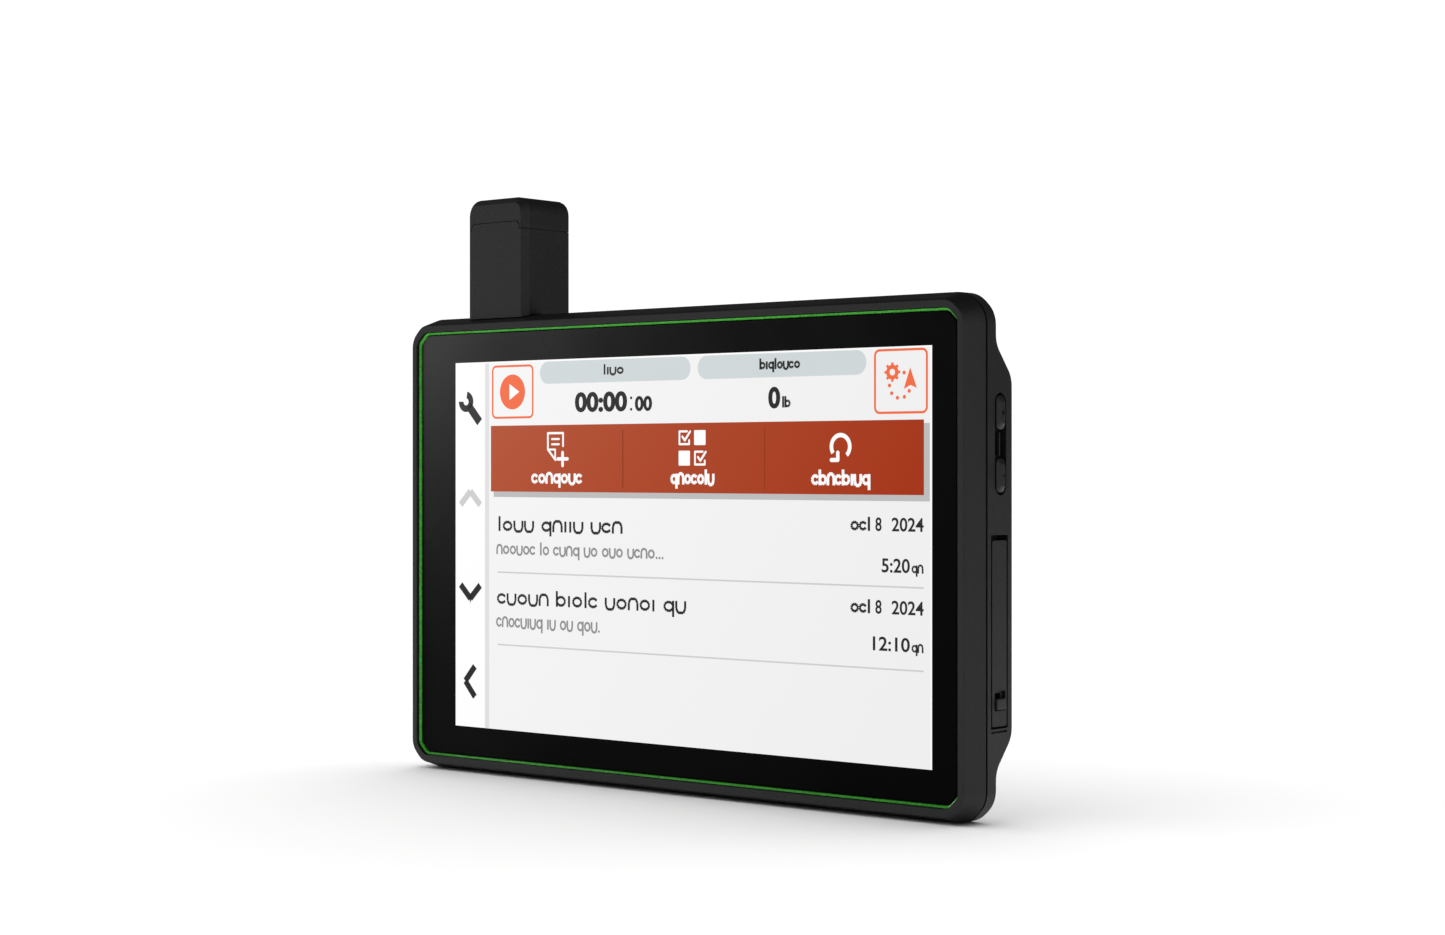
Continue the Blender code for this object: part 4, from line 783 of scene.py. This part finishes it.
class NAVIGATOR_OT_housing(bpy.types.Operator):
    """Bezel, rear cover and the green line round the glass"""

    bl_idname = "navigator.housing"
    bl_label = "Housing"

    def execute(self, context):
        width = context.scene.navigator_finish.edge_break
        softened("front_bezel", "bezel_moulding", width, finish("housing"))
        softened("rear_cover", "rear_moulding", width, finish("housing"))
        softened("trim_ring", "trim_line", 0.06, finish("trim"))
        for node in ("glass_seal", "housing_gasket", "vent_plug"):
            refinish(node, finish("rubber"))
        return {"FINISHED"}


class NAVIGATOR_OT_tower(bpy.types.Operator):
    """Antenna tower, its cap and what is inside"""

    bl_idname = "navigator.tower"
    bl_label = "Antenna tower"

    def execute(self, context):
        width = context.scene.navigator_finish.edge_break
        softened("antenna_housing", "tower_moulding", width, finish("housing"))
        softened("antenna_cap", "tower_cap_moulding", width, finish("housing"))
        refinish("antenna_seal", finish("rubber"))
        refinish("antenna_core", finish("ceramic"))
        refinish("antenna_coil", finish("brass"))
        refinish("antenna_coax", finish("rubber"))
        return {"FINISHED"}


class NAVIGATOR_OT_glass(bpy.types.Operator):
    """Cover glass with its black print"""

    bl_idname = "navigator.glass"
    bl_label = "Cover glass"

    def execute(self, context):
        softened("cover_glass", "cover_glass_polished", 0.18, finish("glass"), steps=3)
        return {"FINISHED"}


class NAVIGATOR_OT_screen(bpy.types.Operator):
    """The picture on the lit screen"""

    bl_idname = "navigator.screen"
    bl_label = "Screen picture"

    def execute(self, context):
        screen_ground()
        screen_shadow_and_pills()
        screen_dark_marks()
        screen_grey_marks()
        screen_white_marks()
        screen_orange_marks()
        return {"FINISHED"}


class NAVIGATOR_OT_keys(bpy.types.Operator):
    """Volume keys and power key"""

    bl_idname = "navigator.keys"
    bl_label = "Keys"

    def execute(self, context):
        softened("volume_up_button", "volume_up_key", 0.06, finish("key"), "volume_up")
        softened("volume_down_button", "volume_down_key", 0.06, finish("key"), "volume_down")
        softened("power_button", "power_key", 0.06, finish("key"), "power")
        return {"FINISHED"}


class NAVIGATOR_OT_door(bpy.types.Operator):
    """Port door with its latch and seal, and the sockets behind it"""

    bl_idname = "navigator.door"
    bl_label = "Port door"

    def execute(self, context):
        softened("port_door", "door_leaf", 0.12, finish("housing"), "door")
        softened("door_latch", "door_latch_knob", 0.1, finish("key"), "latch")
        softened("door_seal", "door_seal_moulding", 0.12, finish("rubber"), "door")
        refinish("hinge_pin", finish("steel"))
        softened("usb_socket", "usb_socket_shell", 0.05, finish("tin"))
        softened("card_socket", "card_socket_shell", 0.05, finish("tin"))
        refinish("memory_card", finish("key"))
        return {"FINISHED"}


class NAVIGATOR_OT_mount(bpy.types.Operator):
    """Dock plate, contacts and inserts on the back"""

    bl_idname = "navigator.mount"
    bl_label = "Mount"

    def execute(self, context):
        softened("dock_plate", "dock_plate_milled", 0.25, finish("anodised"))
        softened("contact_block", "contact_block_moulding", 0.15, finish("key"))
        for i in range(1, 5):
            refinish(f"dock_insert_{i}", finish("brass"))
            refinish(f"contact_pin_{i}", finish("gold"))
            refinish(f"dock_screw_{i}", finish("steel"))
            refinish(f"housing_screw_{i}", finish("steel"))
        for i in (1, 2):
            refinish(f"antenna_screw_{i}", finish("steel"))
        return {"FINISHED"}


class NAVIGATOR_OT_inside(bpy.types.Operator):
    """Boards, battery, speaker and switches"""

    bl_idname = "navigator.inside"
    bl_label = "Inside"

    def execute(self, context):
        for node, kind in (
            ("main_board", "board"),
            ("side_board", "board"),
            ("port_board", "board"),
            ("processor_shield", "tin"),
            ("radio_shield", "tin"),
            ("volume_up_switch", "tin"),
            ("volume_down_switch", "tin"),
            ("power_switch", "tin"),
            ("display_tray", "tin"),
            ("speaker_mesh", "tin"),
            ("speaker", "key"),
            ("battery_tray", "key"),
            ("battery_pack", "foil"),
            ("gps_patch_antenna", "ceramic"),
            ("display_flex", "film"),
        ):
            refinish(node, finish(kind))
        return {"FINISHED"}


class NAVIGATOR_OT_studio(bpy.types.Operator):
    """Floor, light and camera"""

    bl_idname = "navigator.studio"
    bl_label = "Studio"

    def execute(self, context):
        studio(context.scene.navigator_finish)
        return {"FINISHED"}


STEPS = (
    NAVIGATOR_OT_housing,
    NAVIGATOR_OT_tower,
    NAVIGATOR_OT_glass,
    NAVIGATOR_OT_screen,
    NAVIGATOR_OT_keys,
    NAVIGATOR_OT_door,
    NAVIGATOR_OT_mount,
    NAVIGATOR_OT_inside,
    NAVIGATOR_OT_studio,
)


class NAVIGATOR_PT_finish(bpy.types.Panel):
    """Lists the settings and the steps that make the navigator"""

    bl_label = "Navigator"
    bl_idname = "NAVIGATOR_PT_finish"
    bl_space_type = "VIEW_3D"
    bl_region_type = "UI"
    bl_category = "Navigator"

    def draw(self, context):
        settings = context.scene.navigator_finish
        for name in settings.bl_rna.properties.keys():
            if name not in ("rna_type", "name"):
                self.layout.prop(settings, name)
        for step in STEPS:
            self.layout.operator(step.bl_idname)


CLASSES = (NavigatorFinishSettings, *STEPS, NAVIGATOR_PT_finish)


def register():
    for item in CLASSES:
        bpy.utils.register_class(item)
    bpy.types.Scene.navigator_finish = PointerProperty(type=NavigatorFinishSettings)


def unregister():
    del bpy.types.Scene.navigator_finish
    for item in reversed(CLASSES):
        bpy.utils.unregister_class(item)


def main():
    register()
    for step in STEPS:
        group, name = step.bl_idname.split(".")
        getattr(getattr(bpy.ops, group), name)()


if __name__ == "__main__":
    main()
